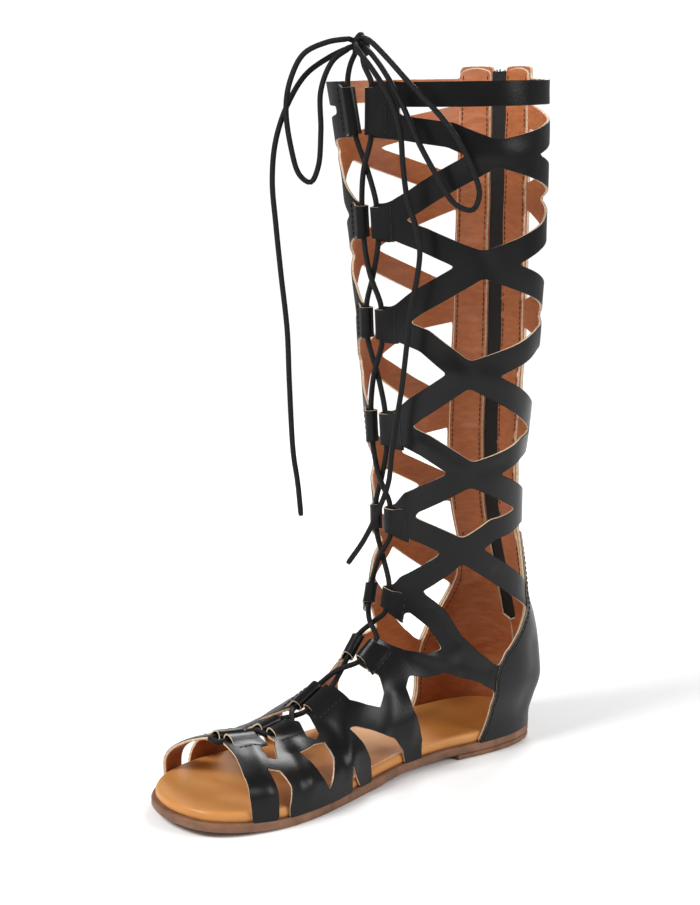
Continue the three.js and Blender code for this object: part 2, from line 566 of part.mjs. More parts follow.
// ---------------------------------------------------------------- zip
// A band of the form along the back line, between two heights off it.
function backBand({ half, fromRow, toRow, inner, outer, step }) {
  const arcs = [-half, half];
  const rows = evenRows(fromRow, toRow, step);
  rows.push(toRow);
  const turns = arcs.map((arc) => ({ arc, side: arc <= 0 ? 1 : -1 }));
  const grid = rows.map((row) => turns.map(({ arc, side }) => {
    const turn = 1 - Math.abs(arc) / halfSection(row, side).total;
    return { p: formPoint(row, turn, side), n: formNormal(row, 0.995, side) };
  }));
  const positions = [];
  grid.forEach((line) => line.forEach(({ p, n }) => {
    for (const offset of [outer, inner]) {
      const q = p.clone().addScaledVector(n, offset);
      positions.push(q.x, q.y, q.z);
    }
  }));
  const at = (i, j) => 2 * (i * arcs.length + j);
  const index = [];
  const quad = (a, b, c, d) => index.push(a, b, c, a, c, d);
  for (let i = 0; i + 1 < rows.length; i++) {
    for (let j = 0; j + 1 < arcs.length; j++) {
      quad(at(i, j), at(i, j + 1), at(i + 1, j + 1), at(i + 1, j));
      quad(at(i, j) + 1, at(i + 1, j) + 1, at(i + 1, j + 1) + 1, at(i, j + 1) + 1);
    }
    quad(at(i, 0), at(i + 1, 0), at(i + 1, 0) + 1, at(i, 0) + 1);
    const j = arcs.length - 1;
    quad(at(i, j), at(i, j) + 1, at(i + 1, j) + 1, at(i + 1, j));
  }
  for (let j = 0; j + 1 < arcs.length; j++) {
    const i = rows.length - 1;
    quad(at(0, j), at(0, j) + 1, at(0, j + 1) + 1, at(0, j + 1));
    quad(at(i, j), at(i, j + 1), at(i, j + 1) + 1, at(i, j) + 1);
  }
  const geometry = new THREE.BufferGeometry();
  geometry.setAttribute('position', new THREE.BufferAttribute(new Float32Array(positions), 3));
  geometry.setIndex(index);
  return geometry;
}

const TAPE = { inner: -0.5, outer: 0.5 };
const TEETH = { half: 1.8, inner: TAPE.outer + GAP, outer: TAPE.outer + GAP + 1.1 };
const SLIDER = { width: 8, depth: 3, height: 10 };
const PULL = { width: 6.5, thick: 1.4, length: 24, neck: 3.6, shoulder: 4.5, pin: 0.75 };
const LUG = { inside: 2.1, outside: 3.5, reach: 3.6, height: 3.4, hole: 1.1 };
const SLIDER_ROW = 20.55;
const sliderSeat = formPoint(SLIDER_ROW, 1, 1);
const sliderX = sliderSeat.x - TEETH.outer - GAP;
const pin = new THREE.Vector3(sliderX - SLIDER.depth - LUG.reach / 2, 0, sliderSeat.z + 2);

function box(x0, x1, y0, y1, z0, z1) {
  const geometry = new THREE.BoxGeometry(x1 - x0, y1 - y0, z1 - z0);
  geometry.translate((x0 + x1) / 2, (y0 + y1) / 2, (z0 + z1) / 2);
  return solidOf(geometry);
}
function buildSlider() {
  const back = sliderX - SLIDER.depth;
  let slider = box(back, sliderX, -SLIDER.width / 2, SLIDER.width / 2,
    sliderSeat.z - SLIDER.height / 2, sliderSeat.z + SLIDER.height / 2);
  for (const side of [1, -1]) {
    const [y0, y1] = [side * LUG.inside, side * LUG.outside].sort((a, b) => a - b);
    slider = slider.add(box(back - LUG.reach, back + 0.5, y0, y1, pin.z - LUG.height / 2, pin.z + LUG.height / 2));
  }
  const hole = new THREE.CylinderGeometry(LUG.hole, LUG.hole, 9, 12);
  hole.translate(pin.x, 0, pin.z);
  return geometryOf(slider.subtract(solidOf(hole)));
}
// The pull hangs from its pin, which is at its own origin.
function buildPull() {
  const [half, neck] = [PULL.width / 2, PULL.neck / 2];
  const tip = half - PULL.length;
  const outline = new THREE.Shape();
  outline.moveTo(neck, 0.9);
  outline.lineTo(-neck, 0.9);
  outline.lineTo(-neck, 1.2 - PULL.shoulder);
  outline.lineTo(-half, -PULL.shoulder);
  outline.lineTo(-half, tip);
  outline.absarc(0, tip, half, Math.PI, 2 * Math.PI, false);
  outline.lineTo(half, -PULL.shoulder);
  outline.lineTo(neck, 1.2 - PULL.shoulder);
  outline.closePath();
  const eye = new THREE.Path();
  eye.absarc(0, tip + 0.5, 1.5, 0, 2 * Math.PI, true);
  outline.holes.push(eye);
  const plate = new THREE.ExtrudeGeometry(outline, { depth: PULL.thick, bevelEnabled: false, curveSegments: 6 });
  plate.translate(0, 0, -PULL.thick / 2);
  plate.rotateX(Math.PI / 2);
  plate.rotateZ(Math.PI / 2);
  const rod = new THREE.CylinderGeometry(PULL.pin, PULL.pin, 2 * LUG.outside + 0.8, 10);
  return geometryOf(solidOf(plate).add(solidOf(rod)));
}

// ---------------------------------------------------------------- laces
// Each strand runs through the tunnels of alternate sides; the two cross
// between every pair of tabs, and join round the front of the toe strap.
const KNOT = new THREE.Vector3(77, 0, 403);
const KNOT_RADIUS = 4.6;
function strand(firstSide, above) {
  const points = [];
  TABS.forEach((tab, k) => {
    const side = k % 2 ? -firstSide : firstSide;
    const { low, high, along } = tunnel(tab, side);
    // straight through the tunnel and a little past its mouths
    const past = tab.to > 8 ? 2.4 : 1.6;
    points.push(
      high.clone().addScaledVector(along, past), high.clone().lerp(low, 0.15),
      high.clone().lerp(low, 0.85), low.clone().addScaledVector(along, -past));
    if (k + 1 < TABS.length) {
      const next = tunnel(TABS[k + 1], -side);
      const row = (tab.from + TABS[k + 1].to) / 2;
      const middle = low.clone().add(next.high).multiplyScalar(0.5);
      middle.y *= 0.2;
      points.push(middle.addScaledVector(formNormal(row, 0, 1), above));
    }
  });
  return points;
}
function buildLace() {
  const first = strand(1, 1.6);
  const second = strand(-1, 0.2);
  const toe = formPoint(0.92, 0, 1);
  toe.z -= 0.5;
  toe.x += 1.5;
  const rise = (points, side) => {
    const end = KNOT.clone().add(new THREE.Vector3(1, side * 2.3, -KNOT_RADIUS - GAP - 1.4));
    const half = points[0].clone().lerp(end, 0.55);
    half.x += 1.5;
    return [end, half, ...points];
  };
  const a = curveThrough([...rise(first, 1), toe.clone().setY(-3), toe.clone().setY(2)]);
  const b = curveThrough([...rise(second, -1), toe.clone().setY(4.5), toe.clone().setY(0).add(new THREE.Vector3(0.9, 0, 0.7))]);
  return geometryOf(solidOf(tube(a, LACE_RADIUS, 6, 64)).add(solidOf(tube(b, LACE_RADIUS, 6, 64))));
}
function buildKnot() {
  const knot = new THREE.IcosahedronGeometry(KNOT_RADIUS, 1);
  knot.scale(1.1, 1, 0.95);
  knot.translate(KNOT.x, KNOT.y, KNOT.z);
  return knot;
}

// The bow: two loops and two loose ends, as lists of places.
const BOW = {
  bow_loop_front: [
    [83, -2.6, 405.5], [92, -9, 404], [103, -16, 398], [109, -20, 385], [111, -22, 370], [109, -21, 349],
    [105, -19, 334], [100, -16, 330], [97, -13, 338], [97, -10, 357], [98, -8, 379], [93, -4, 394], [83.6, -1, 400.8],
  ],
  lace_end_front: [
    [82.6, -4.6, 400.5], [89, -12, 396], [99, -20, 387], [108, -25, 371], [114, -28, 352], [116, -29, 331],
    [115, -28, 308], [113, -27, 281], [111, -25, 250], [111, -24, 222], [110, -23, 182], [108, -22, 164],
    [107, -21, 146],
  ],
  bow_loop_side: [
    [80, 5.4, 406], [84, 17, 404], [84, 31, 395], [79, 43, 382], [72, 54, 369], [65, 63, 355], [59, 69, 338],
    [56, 71, 325], [58, 68, 317], [64, 61, 320], [70, 54, 334], [76, 46, 352], [80, 38, 371], [82, 26, 388],
    [80, 12, 398], [78.6, 5.2, 401],
  ],
  lace_end_side: [
    [82.4, 3.4, 403], [89, 12, 400], [89, 24, 390], [84, 33, 374], [81, 37, 358], [80, 38, 340], [78, 39, 322],
    [75, 42, 308], [74, 44, 296], [74, 42, 282], [75, 37, 263], [75, 34, 245], [75, 29, 219], [75, 24, 200],
    [75, 20, 182], [75, 17, 166], [80, 15, 152], [90, 14, 136], [101, 13, 124],
  ],
};

// ---------------------------------------------------------------- assembly
const sandal = new THREE.Group();
const LEATHER = { color: 0x1b1a1a, roughness: 0.42, metalness: 0 };
const INSOLE_TAN = { color: 0xc88a4b, roughness: 0.45, metalness: 0 };
const SOLE_BROWN = { color: 0x7a563f, roughness: 0.7, metalness: 0 };
const ZIP_BLACK = { color: 0x0d0d0d, roughness: 0.8, metalness: 0 };
const ZIP_METAL = { color: 0x1e1e20, roughness: 0.35, metalness: 0.8 };
const LACE_BLACK = { color: 0x141414, roughness: 0.7, metalness: 0 };

function add(name, geometry, look) {
  const mesh = new THREE.Mesh(geometry, new THREE.MeshStandardMaterial(look));
  mesh.name = name;
  sandal.add(mesh);
  return mesh;
}

add('outsole', buildOutsole(), SOLE_BROWN);
add('insole', buildInsole(), INSOLE_TAN);
add('upper', buildUpper(), LEATHER);
add('zip_tape', backBand({
  half: TAPE_HALF, fromRow: ZIP_FOOT_ROW + 0.04, toRow: ZIP_TOP_ROW, step: 18, ...TAPE }), ZIP_BLACK);
add('zip_teeth', backBand({
  fromRow: ZIP_FOOT_ROW + 0.08, toRow: SLIDER_ROW - 0.2, step: 18, ...TEETH }), ZIP_BLACK);
add('zip_slider', buildSlider(), ZIP_METAL);
add('zip_pull', buildPull(), ZIP_METAL).position.copy(pin);
add('lace', buildLace(), LACE_BLACK);
add('bow_knot', buildKnot(), LACE_BLACK);
for (const [name, route] of Object.entries(BOW)) {
  const curve = curveThrough(route);
  add(name, tube(curve, LACE_RADIUS, 8, Math.round(curve.getLength() / CORD_STEP)), LACE_BLACK);
}

export default sandal;
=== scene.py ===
# Knee-high gladiator sandal, right foot: black coated leather with a tan
# lining, laced with waxed cord up the front and zipped up the back.
# Shapes are worked out in millimetres and made in metres.
import math

import bmesh
import bpy
import numpy as np
from mathutils import Matrix, Vector


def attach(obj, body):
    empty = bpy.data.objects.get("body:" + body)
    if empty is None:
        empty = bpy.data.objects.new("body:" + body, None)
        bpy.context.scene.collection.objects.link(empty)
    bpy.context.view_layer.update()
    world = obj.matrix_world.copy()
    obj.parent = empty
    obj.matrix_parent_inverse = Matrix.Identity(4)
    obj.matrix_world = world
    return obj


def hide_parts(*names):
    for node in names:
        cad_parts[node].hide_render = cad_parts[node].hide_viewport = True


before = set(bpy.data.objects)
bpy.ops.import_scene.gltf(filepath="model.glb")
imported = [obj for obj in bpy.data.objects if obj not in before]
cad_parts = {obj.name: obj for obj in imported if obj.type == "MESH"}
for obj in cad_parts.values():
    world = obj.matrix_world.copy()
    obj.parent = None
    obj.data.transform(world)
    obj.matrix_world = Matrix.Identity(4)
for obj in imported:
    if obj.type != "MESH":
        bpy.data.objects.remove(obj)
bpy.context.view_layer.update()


# ------------------------------------------------ floor, light and camera
# A pale studio sweep. One large soft box stands to the front left, a second
# fills from the right, and a strip behind draws the edges of the straps.
def linear(hex_colour):
    """Linear RGBA from an sRGB hex colour."""
    channels = [int(hex_colour[i:i + 2], 16) / 255 for i in (1, 3, 5)]
    return [c / 12.92 if c <= 0.04045 else ((c + 0.055) / 1.055) ** 2.4
            for c in channels] + [1]


def add_node(tree, kind, inputs=None, **settings):
    """A new node, with its settings, and each input's value or link."""
    node = tree.nodes.new(kind)
    for key, value in settings.items():
        setattr(node, key, value)
    for key, value in (inputs or {}).items():
        if isinstance(value, bpy.types.NodeSocket):
            tree.links.new(value, node.inputs[key])
        else:
            node.inputs[key].default_value = value
    return node


def new_material(name):
    """An empty material's tree, and the material."""
    material = bpy.data.materials.new(name)
    material.use_nodes = True
    material.node_tree.nodes.clear()
    return material, material.node_tree


def finish_material(tree, surface):
    """Lead the surface's shader to the output."""
    add_node(tree, "ShaderNodeOutputMaterial", {"Surface": surface.outputs[0]})


FLOOR_REACH = 1.1
pale_floor, tree = new_material("pale_floor")
finish_material(tree, add_node(tree, "ShaderNodeBsdfPrincipled", {
    "Base Color": linear("#FDFDFD"), "Roughness": 0.9}))
bpy.ops.mesh.primitive_circle_add(vertices=64, radius=FLOOR_REACH, fill_type="NGON")
floor = bpy.context.object
floor.name = "studio_floor"
floor.data.materials.append(pale_floor)

world = bpy.data.worlds.new("studio")
bpy.context.scene.world = world
world.use_nodes = True
# the sweep behind is white to the eye, but the room round it is dimmer
room = world.node_tree.nodes["Background"]
room.inputs["Color"].default_value = linear("#FAFAFA")
room.inputs["Strength"].default_value = 0.3
sweep = add_node(world.node_tree, "ShaderNodeBackground", {
    "Color": linear("#FFFFFF"), "Strength": 1.05})
seen = add_node(world.node_tree, "ShaderNodeLightPath")
both = add_node(world.node_tree, "ShaderNodeMixShader", {
    0: seen.outputs["Is Camera Ray"], 1: room.outputs[0], 2: sweep.outputs[0]})
world.node_tree.links.new(both.outputs[0],
                          world.node_tree.nodes["World Output"].inputs["Surface"])


def soft_box(name, place, aim, size, power):
    """A square area light at place, aimed at a point."""
    data = bpy.data.lights.new(name, "AREA")
    data.shape, data.size, data.energy = "SQUARE", size, power
    lamp = bpy.data.objects.new(name, data)
    bpy.context.collection.objects.link(lamp)
    lamp.location = place
    lamp.rotation_euler = (Vector(aim) - Vector(place)).to_track_quat("-Z", "Y").to_euler()


soft_box("key_box", (1.3, -0.1, 1.2), (0.05, 0, 0.18), 0.65, 25)
soft_box("fill_box", (-0.5, 1.5, 0.9), (0.05, 0, 0.2), 0.8, 15)
soft_box("rim_strip", (-0.9, -0.7, 0.9), (0.05, 0, 0.2), 0.6, 12)

CAMERA_PLACE = (0.7542, 0.8508, 0.3955)
CAMERA_LOOK = (-0.673, -0.740)          # level direction of view
CAMERA_TILT = math.radians(11.19)       # below the horizon
CAMERA_PAN = math.radians(4.15)         # turned to bring the one shoe to the middle
camera_data = bpy.data.cameras.new("camera")
camera_data.sensor_width = 36
camera_data.lens = 79.56
camera_data.clip_start, camera_data.clip_end = 0.05, 60
camera = bpy.data.objects.new("camera", camera_data)
bpy.context.collection.objects.link(camera)
look = Vector((*CAMERA_LOOK, 0)).normalized() * math.cos(CAMERA_TILT)
look.z = -math.sin(CAMERA_TILT)
turn = look.to_track_quat("-Z", "Y").to_matrix().to_4x4()
camera.matrix_world = (Matrix.Translation(CAMERA_PLACE) @ turn
                       @ Matrix.Rotation(CAMERA_PAN, 4, "Y"))
bpy.context.scene.camera = camera
bpy.context.scene.view_settings.view_transform = "Standard"


# ------------------------------------------------------------------ outsole
# A 5 mm sheet of brown rubber cut to the sole's outline, with a low heel of
# the same rubber glued under it. Its edge is ground smooth, which leaves it
# matt with faint marks along its length.
MM = 0.001
OUTLINE = np.array([  # x, medial half width, lateral half width
    (-36, 0, 0), (-33, 11.5, 11.5), (-24, 23.5, 24), (-8, 31, 31.5),
    (15, 32.5, 33.5), (45, 29.5, 36.5), (75, 30.5, 42), (105, 36.5, 45),
    (130, 43.5, 48), (150, 48, 50), (170, 49.5, 48), (190, 46.5, 40),
    (205, 40.5, 28), (215, 31, 14)], float)
TOE_TIP = (220.0, 9.0)
SOLE_TOP = np.array([(-36, 8.2), (20, 8), (45, 8), (75, 7.6), (105, 5.8),
                     (135, 5), (170, 5.2), (195, 6.8), (220, 9.4)])
SHEET_UNDER = np.array([(-36, 3.2), (20, 3), (45, 3), (75, 2.6), (90, 1.2),
                        (98, 0.2), (104, 0), (168, 0), (176, 0.25), (195, 1.8),
                        (220, 4.4)])
HEEL_BREAST = 36.0


def smooth_line(points, step, closed=False):
    """A centripetal Catmull-Rom line through points, in even steps of about step."""
    p = np.asarray(points, float)
    if closed:
        p = np.vstack([p[-1], p, p[0], p[1]])
    else:
        p = np.vstack([2 * p[0] - p[1], p, 2 * p[-1] - p[-2]])
    fine = []
    for a, b, c, d in zip(p[:-3], p[1:-2], p[2:-1], p[3:]):
        t0 = 0.0
        t1 = t0 + max(1e-4, np.linalg.norm(b - a)) ** 0.5
        t2 = t1 + max(1e-4, np.linalg.norm(c - b)) ** 0.5
        t3 = t2 + max(1e-4, np.linalg.norm(d - c)) ** 0.5
        t = np.linspace(t1, t2, 17)[:-1, None]
        e = (t1 - t) / (t1 - t0) * a + (t - t0) / (t1 - t0) * b
        f = (t2 - t) / (t2 - t1) * b + (t - t1) / (t2 - t1) * c
        g = (t3 - t) / (t3 - t2) * c + (t - t2) / (t3 - t2) * d
        h = (t2 - t) / (t2 - t0) * e + (t - t0) / (t2 - t0) * f
        k = (t3 - t) / (t3 - t1) * f + (t - t1) / (t3 - t1) * g
        fine.append((t2 - t) / (t2 - t1) * h + (t - t1) / (t2 - t1) * k)
    fine.append(p[-2][None])
    fine = np.vstack(fine)
    walked = np.r_[0, np.cumsum(np.linalg.norm(np.diff(fine, axis=0), axis=1))]
    count = max(2, int(round(walked[-1] / step)) + 1)
    even = np.linspace(0, walked[-1], count)
    line = np.stack([np.interp(even, walked, fine[:, k]) for k in range(p.shape[1])], 1)
    return line[:-1] if closed else line


medial_edge = [(x, m) for x, m, _ in OUTLINE]
lateral_edge = [(x, -l) for x, _, l in OUTLINE[:0:-1]]
outline = smooth_line(medial_edge + [TOE_TIP] + lateral_edge, 2.0, closed=True)


def inset_outline(inset):
    """The outline, moved inwards."""
    ahead, behind = np.roll(outline, -1, 0), np.roll(outline, 1, 0)
    along = ahead - behind
    along /= np.linalg.norm(along, axis=1)[:, None]
    return outline + np.stack([along[:, 1], -along[:, 0]], 1) * inset


def profile(table, x):
    """Height at x from a table, with its corners eased over 8 mm."""
    reach = np.linspace(-4, 4, 9)
    return np.mean([np.interp(x + r, table[:, 0], table[:, 1]) for r in reach], 0)


SPINE = smooth_line([(-14, 0), (20, -1), (60, -5), (110, -3), (150, -1), (182, 4)], 4.0)


def towards_spine(ring, share):
    """The ring drawn in towards the sole's middle line."""
    nearest = np.argmin(np.linalg.norm(ring[:, None] - SPINE[None], axis=2), 1)
    return ring + (SPINE[nearest] - ring) * share


def mesh_object(name, vertices, faces, materials, indices=None, body="sandal",
                sharp=40, uv=None):
    """A mesh object in metres from vertices in millimetres, on a body."""
    mesh = bpy.data.meshes.new(name)
    mesh.from_pydata((np.asarray(vertices) * MM).tolist(), [], faces)
    for material in materials:
        mesh.materials.append(material)
    if indices is not None:
        mesh.polygons.foreach_set("material_index", indices)
    mesh.shade_smooth()
    if sharp:
        mesh.set_sharp_from_angle(angle=math.radians(sharp))
    if uv is not None:
        layer = mesh.uv_layers.new(name="UVMap")
        corner = np.empty(len(mesh.loops), np.int32)
        mesh.loops.foreach_get("vertex_index", corner)
        layer.data.foreach_set("uv", np.asarray(uv, float)[corner].ravel())
    made = bpy.data.objects.new(name, mesh)
    bpy.context.collection.objects.link(made)
    if body:
        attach(made, body)
    return made


def ring_solid(name, rings, material):
    """A closed solid from rings of equal count, whose ends close on themselves."""
    count = len(rings[0])
    vertices = np.vstack(rings)
    faces = []
    for k in range(len(rings) - 1):
        for i in range(count):
            j = (i + 1) % count
            faces.append((k * count + i, k * count + j,
                          (k + 1) * count + j, (k + 1) * count + i))
    made = mesh_object(name, vertices, faces, [material], sharp=None, body=None)
    work = bmesh.new()
    work.from_mesh(made.data)
    bmesh.ops.remove_doubles(work, verts=work.verts, dist=0.02 * MM)
    bmesh.ops.recalc_face_normals(work, faces=work.faces)
    work.to_mesh(made.data)
    work.free()
    made.data.shade_smooth()
    made.data.set_sharp_from_angle(angle=math.radians(50))
    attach(made, "sandal")
    return made


def with_height(ring, height):
    return np.column_stack([ring, height])


brown_rubber, tree = new_material("brown_sole_rubber")
place = add_node(tree, "ShaderNodeTexCoord").outputs["Object"]
mottle = add_node(tree, "ShaderNodeTexNoise", {
    "Vector": place, "Scale": 90.0, "Detail": 5.0, "Roughness": 0.6})
layers = add_node(tree, "ShaderNodeMapping", {"Vector": place, "Scale": (40, 40, 1100)})
grinding = add_node(tree, "ShaderNodeTexNoise", {
    "Vector": layers.outputs[0], "Scale": 1.0, "Detail": 3.0})
tone = add_node(tree, "ShaderNodeValToRGB", {"Fac": mottle.outputs["Fac"]})
tone.color_ramp.elements[0].position = 0.3
tone.color_ramp.elements[0].color = linear("#65432F")
tone.color_ramp.elements[1].position = 0.72
tone.color_ramp.elements[1].color = linear("#8B6248")
dull = add_node(tree, "ShaderNodeMapRange", {
    "Value": grinding.outputs["Fac"], "To Min": 0.48, "To Max": 0.7})
grain = add_node(tree, "ShaderNodeBump", {
    "Height": grinding.outputs["Fac"], "Strength": 0.25, "Distance": 0.0004})
finish_material(tree, add_node(tree, "ShaderNodeBsdfPrincipled", {
    "Base Color": tone.outputs["Color"], "Roughness": dull.outputs[0],
    "Normal": grain.outputs[0]}))

rings = []
for inset, lift in ((9, 0), (1.0, 0), (0.35, 0.25), (0, 0.9)):
    ring = inset_outline(inset)
    rings.append(with_height(ring, profile(SHEET_UNDER, ring[:, 0]) + lift))
for inset, drop in ((0, 0.9), (0.35, 0.25), (1.0, 0), (9, 0)):
    ring = inset_outline(inset)
    rings.append(with_height(ring, profile(SOLE_TOP, ring[:, 0]) - drop))
under, over = [], []
for share in (1, 0.8, 0.6, 0.4, 0.2):
    ring = towards_spine(inset_outline(9), share)
    under.append(with_height(ring, profile(SHEET_UNDER, ring[:, 0])))
    over.append(with_height(ring, profile(SOLE_TOP, ring[:, 0])))
outsole = ring_solid("outsole_sheet", under + rings + over[::-1], brown_rubber)
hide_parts("outsole")

def heel_ring(inset, height):
    """A ring of the heel block: the outline's back part, closed by its breast."""
    edge = inset_outline(inset)
    front = HEEL_BREAST - inset
    medial = edge[(edge[:, 0] <= front) & (edge[:, 1] >= 0)]
    lateral = edge[(edge[:, 0] <= front) & (edge[:, 1] < 0)]
    medial = medial[np.argsort(medial[:, 0])]
    lateral = lateral[np.argsort(lateral[:, 0])]
    corners = [np.array([front, np.interp(front, *edge[edge[:, 1] * side > 0][
        np.argsort(edge[edge[:, 1] * side > 0][:, 0])].T)]) for side in (1, -1)]
    loop = np.vstack([medial, corners[0], corners[1], lateral[::-1]])
    walked = np.r_[0, np.cumsum(np.linalg.norm(np.diff(
        np.vstack([loop, loop[:1]]), axis=0), axis=1))]
    share = len(medial) / (len(medial) + len(lateral) + 1)
    knots = np.array([0, share, share + 0.12, 1.0])
    # the same share of the points on the medial edge, the breast and the
    # lateral edge in every ring
    reach = [0, walked[len(medial)], walked[len(medial) + 1], walked[-1]]
    even = np.interp(np.linspace(0, 1, 97)[:-1], knots / knots[-1], reach)
    closed = np.vstack([loop, loop[:1]])
    ring = np.stack([np.interp(even, walked, closed[:, k]) for k in (0, 1)], 1)
    if callable(height):
        return with_height(ring, height(ring[:, 0]))
    return with_height(ring, np.full(len(ring), float(height)))


def under_sheet(x):
    return profile(SHEET_UNDER, x) - 0.02


heel_middle = np.array([4.0, 0.0])
heel_rings = [heel_ring(inset, level) for inset, level in (
    (1.0, 0.0), (0.45, 0.25), (0.2, 0.9), (0.2, under_sheet), (2.0, under_sheet))]
caps = []
for ring in (heel_rings[0], heel_rings[-1]):
    cap = ring.copy()
    cap[:, :2] = heel_middle
    cap[:, 2] = 0 if ring is heel_rings[0] else under_sheet(heel_middle[:1])
    caps.append(cap)
heel = ring_solid("heel_block", [caps[0]] + heel_rings + [caps[1]], brown_rubber)


# ------------------------------------------------------------------- insole
# A board wrapped in tan smooth leather, pressed under the foot and rolled
# over its edge, so it has a soft sheen and a bright rounded rim.
INSOLE_THICKNESS = 5.5
INSOLE_INSET = 2.4

tan_insole, tree = new_material("tan_insole_leather")
place = add_node(tree, "ShaderNodeTexCoord").outputs["Object"]
patches = add_node(tree, "ShaderNodeTexNoise", {
    "Vector": place, "Scale": 18.0, "Detail": 3.0, "Roughness": 0.5})
pores = add_node(tree, "ShaderNodeTexNoise", {
    "Vector": place, "Scale": 1600.0, "Detail": 3.0, "Roughness": 0.7})
tone = add_node(tree, "ShaderNodeValToRGB", {"Fac": patches.outputs["Fac"]})
tone.color_ramp.elements[0].position = 0.3
tone.color_ramp.elements[0].color = linear("#B87433")
tone.color_ramp.elements[1].position = 0.75
tone.color_ramp.elements[1].color = linear("#D29653")
sheen = add_node(tree, "ShaderNodeMapRange", {
    "Value": patches.outputs["Fac"], "To Min": 0.36, "To Max": 0.5})
skin = add_node(tree, "ShaderNodeBump", {
    "Height": pores.outputs["Fac"], "Strength": 0.18, "Distance": 0.0003})
finish_material(tree, add_node(tree, "ShaderNodeBsdfPrincipled", {
    "Base Color": tone.outputs["Color"], "Roughness": sheen.outputs[0],
    "Normal": skin.outputs[0]}))


def footbed(ring, inset):
    """The insole's upper face: a shallow cup that rises to its edge."""
    rise = profile(SOLE_TOP, ring[:, 0]) + 0.3 + INSOLE_THICKNESS
    return rise - 0.7 * min(1, inset / 14) ** 1.5


rings = []
base = inset_outline(INSOLE_INSET + 0.6)
rings.append(with_height(base, profile(SOLE_TOP, base[:, 0]) + 0.05))
for inset, share in ((0.1, 0.12), (0, 0.3), (0, 0.5), (0.25, 0.72), (0.8, 0.89), (1.7, 0.98)):
    ring = inset_outline(INSOLE_INSET + inset)
    low = profile(SOLE_TOP, ring[:, 0]) + 0.05
    rings.append(with_height(ring, low + (footbed(ring, 0) - low) * share))
for inset in (2.8, 5, 8):
    ring = inset_outline(INSOLE_INSET + inset)
    rings.append(with_height(ring, footbed(ring, inset)))
for share in (0.2, 0.4, 0.6, 0.8, 1):
    ring = towards_spine(inset_outline(INSOLE_INSET + 8), share)
    rings.append(with_height(ring, footbed(ring, 8 + 20 * share)))
under = []
for share in (1, 0.5):
    ring = towards_spine(base, share)
    under.append(with_height(ring, profile(SOLE_TOP, ring[:, 0]) + 0.05))
insole = ring_solid("insole_board", under + rings, tan_insole)
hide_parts("insole")


# -------------------------------------------------------------------- upper
# One cage of black coated leather, cut alike on both sides, lined with tan.
# It is about 1.8 mm thick, and its knife-cut edges show the pale core.
SECTIONS = np.array([
    # frontX frontZ backX backZ medial lateral widest crown base
    (200, 36.5, 200, 0, 44, 34, 0.85, 2, 3),
    (181, 38.5, 181, 0, 48, 44, 0.85, 2, 3),
    (163, 36, 163, 0, 49, 49, 0.85, 2, 3),
    (146, 35.5, 146, 0, 47, 50, 0.85, 2, 3),
    (129, 41.5, 129, -1, 43, 48, 0.82, 2, 3),
    (113, 50.5, 110, -3, 40, 46, 0.8, 2, 3),
    (97, 59.5, 88, -6, 36, 43, 0.76, 2, 3),
    (84, 67.5, 62, -8, 35, 42, 0.72, 2, 3),
    (77, 78, 30, -12, 34, 38, 0.68, 2.1, 3),
    (72, 90, 0, -14, 34, 36, 0.62, 2.1, 2.8),
    (69, 104, -27, -10, 35, 34, 0.58, 2.1, 2.6),
    (67, 119, -38, 20, 37, 33, 0.56, 2.1, 2.4),
    (66, 134, -35, 56, 40, 31, 0.53, 2, 2.2),
    (66, 151, -27, 93, 44, 30, 0.5, 2, 2),
    (67, 170, -19, 130, 50, 31, 0.5, 2, 2),
    (68, 192, -17, 165, 56, 34, 0.5, 2, 2),
    (69, 216, -18, 200, 62, 38, 0.5, 2, 2),
    (70, 246, -20, 238, 68, 43, 0.5, 2, 2),
    (71, 280, -21, 278, 72, 48, 0.5, 2, 2),
    (73, 320, -22, 320, 74, 54, 0.5, 2, 2),
    (76, 352, -23, 352, 75, 60, 0.5, 2, 2),
    (79, 386, -24, 386, 75, 67, 0.5, 2, 2),
    (80, 402, -25, 402, 75, 69, 0.5, 2, 2)], float)
FEATHER_INSET = 1.1
WALL = 1.8
STRAP = 12.5
STRAP_FILLET = 2.5
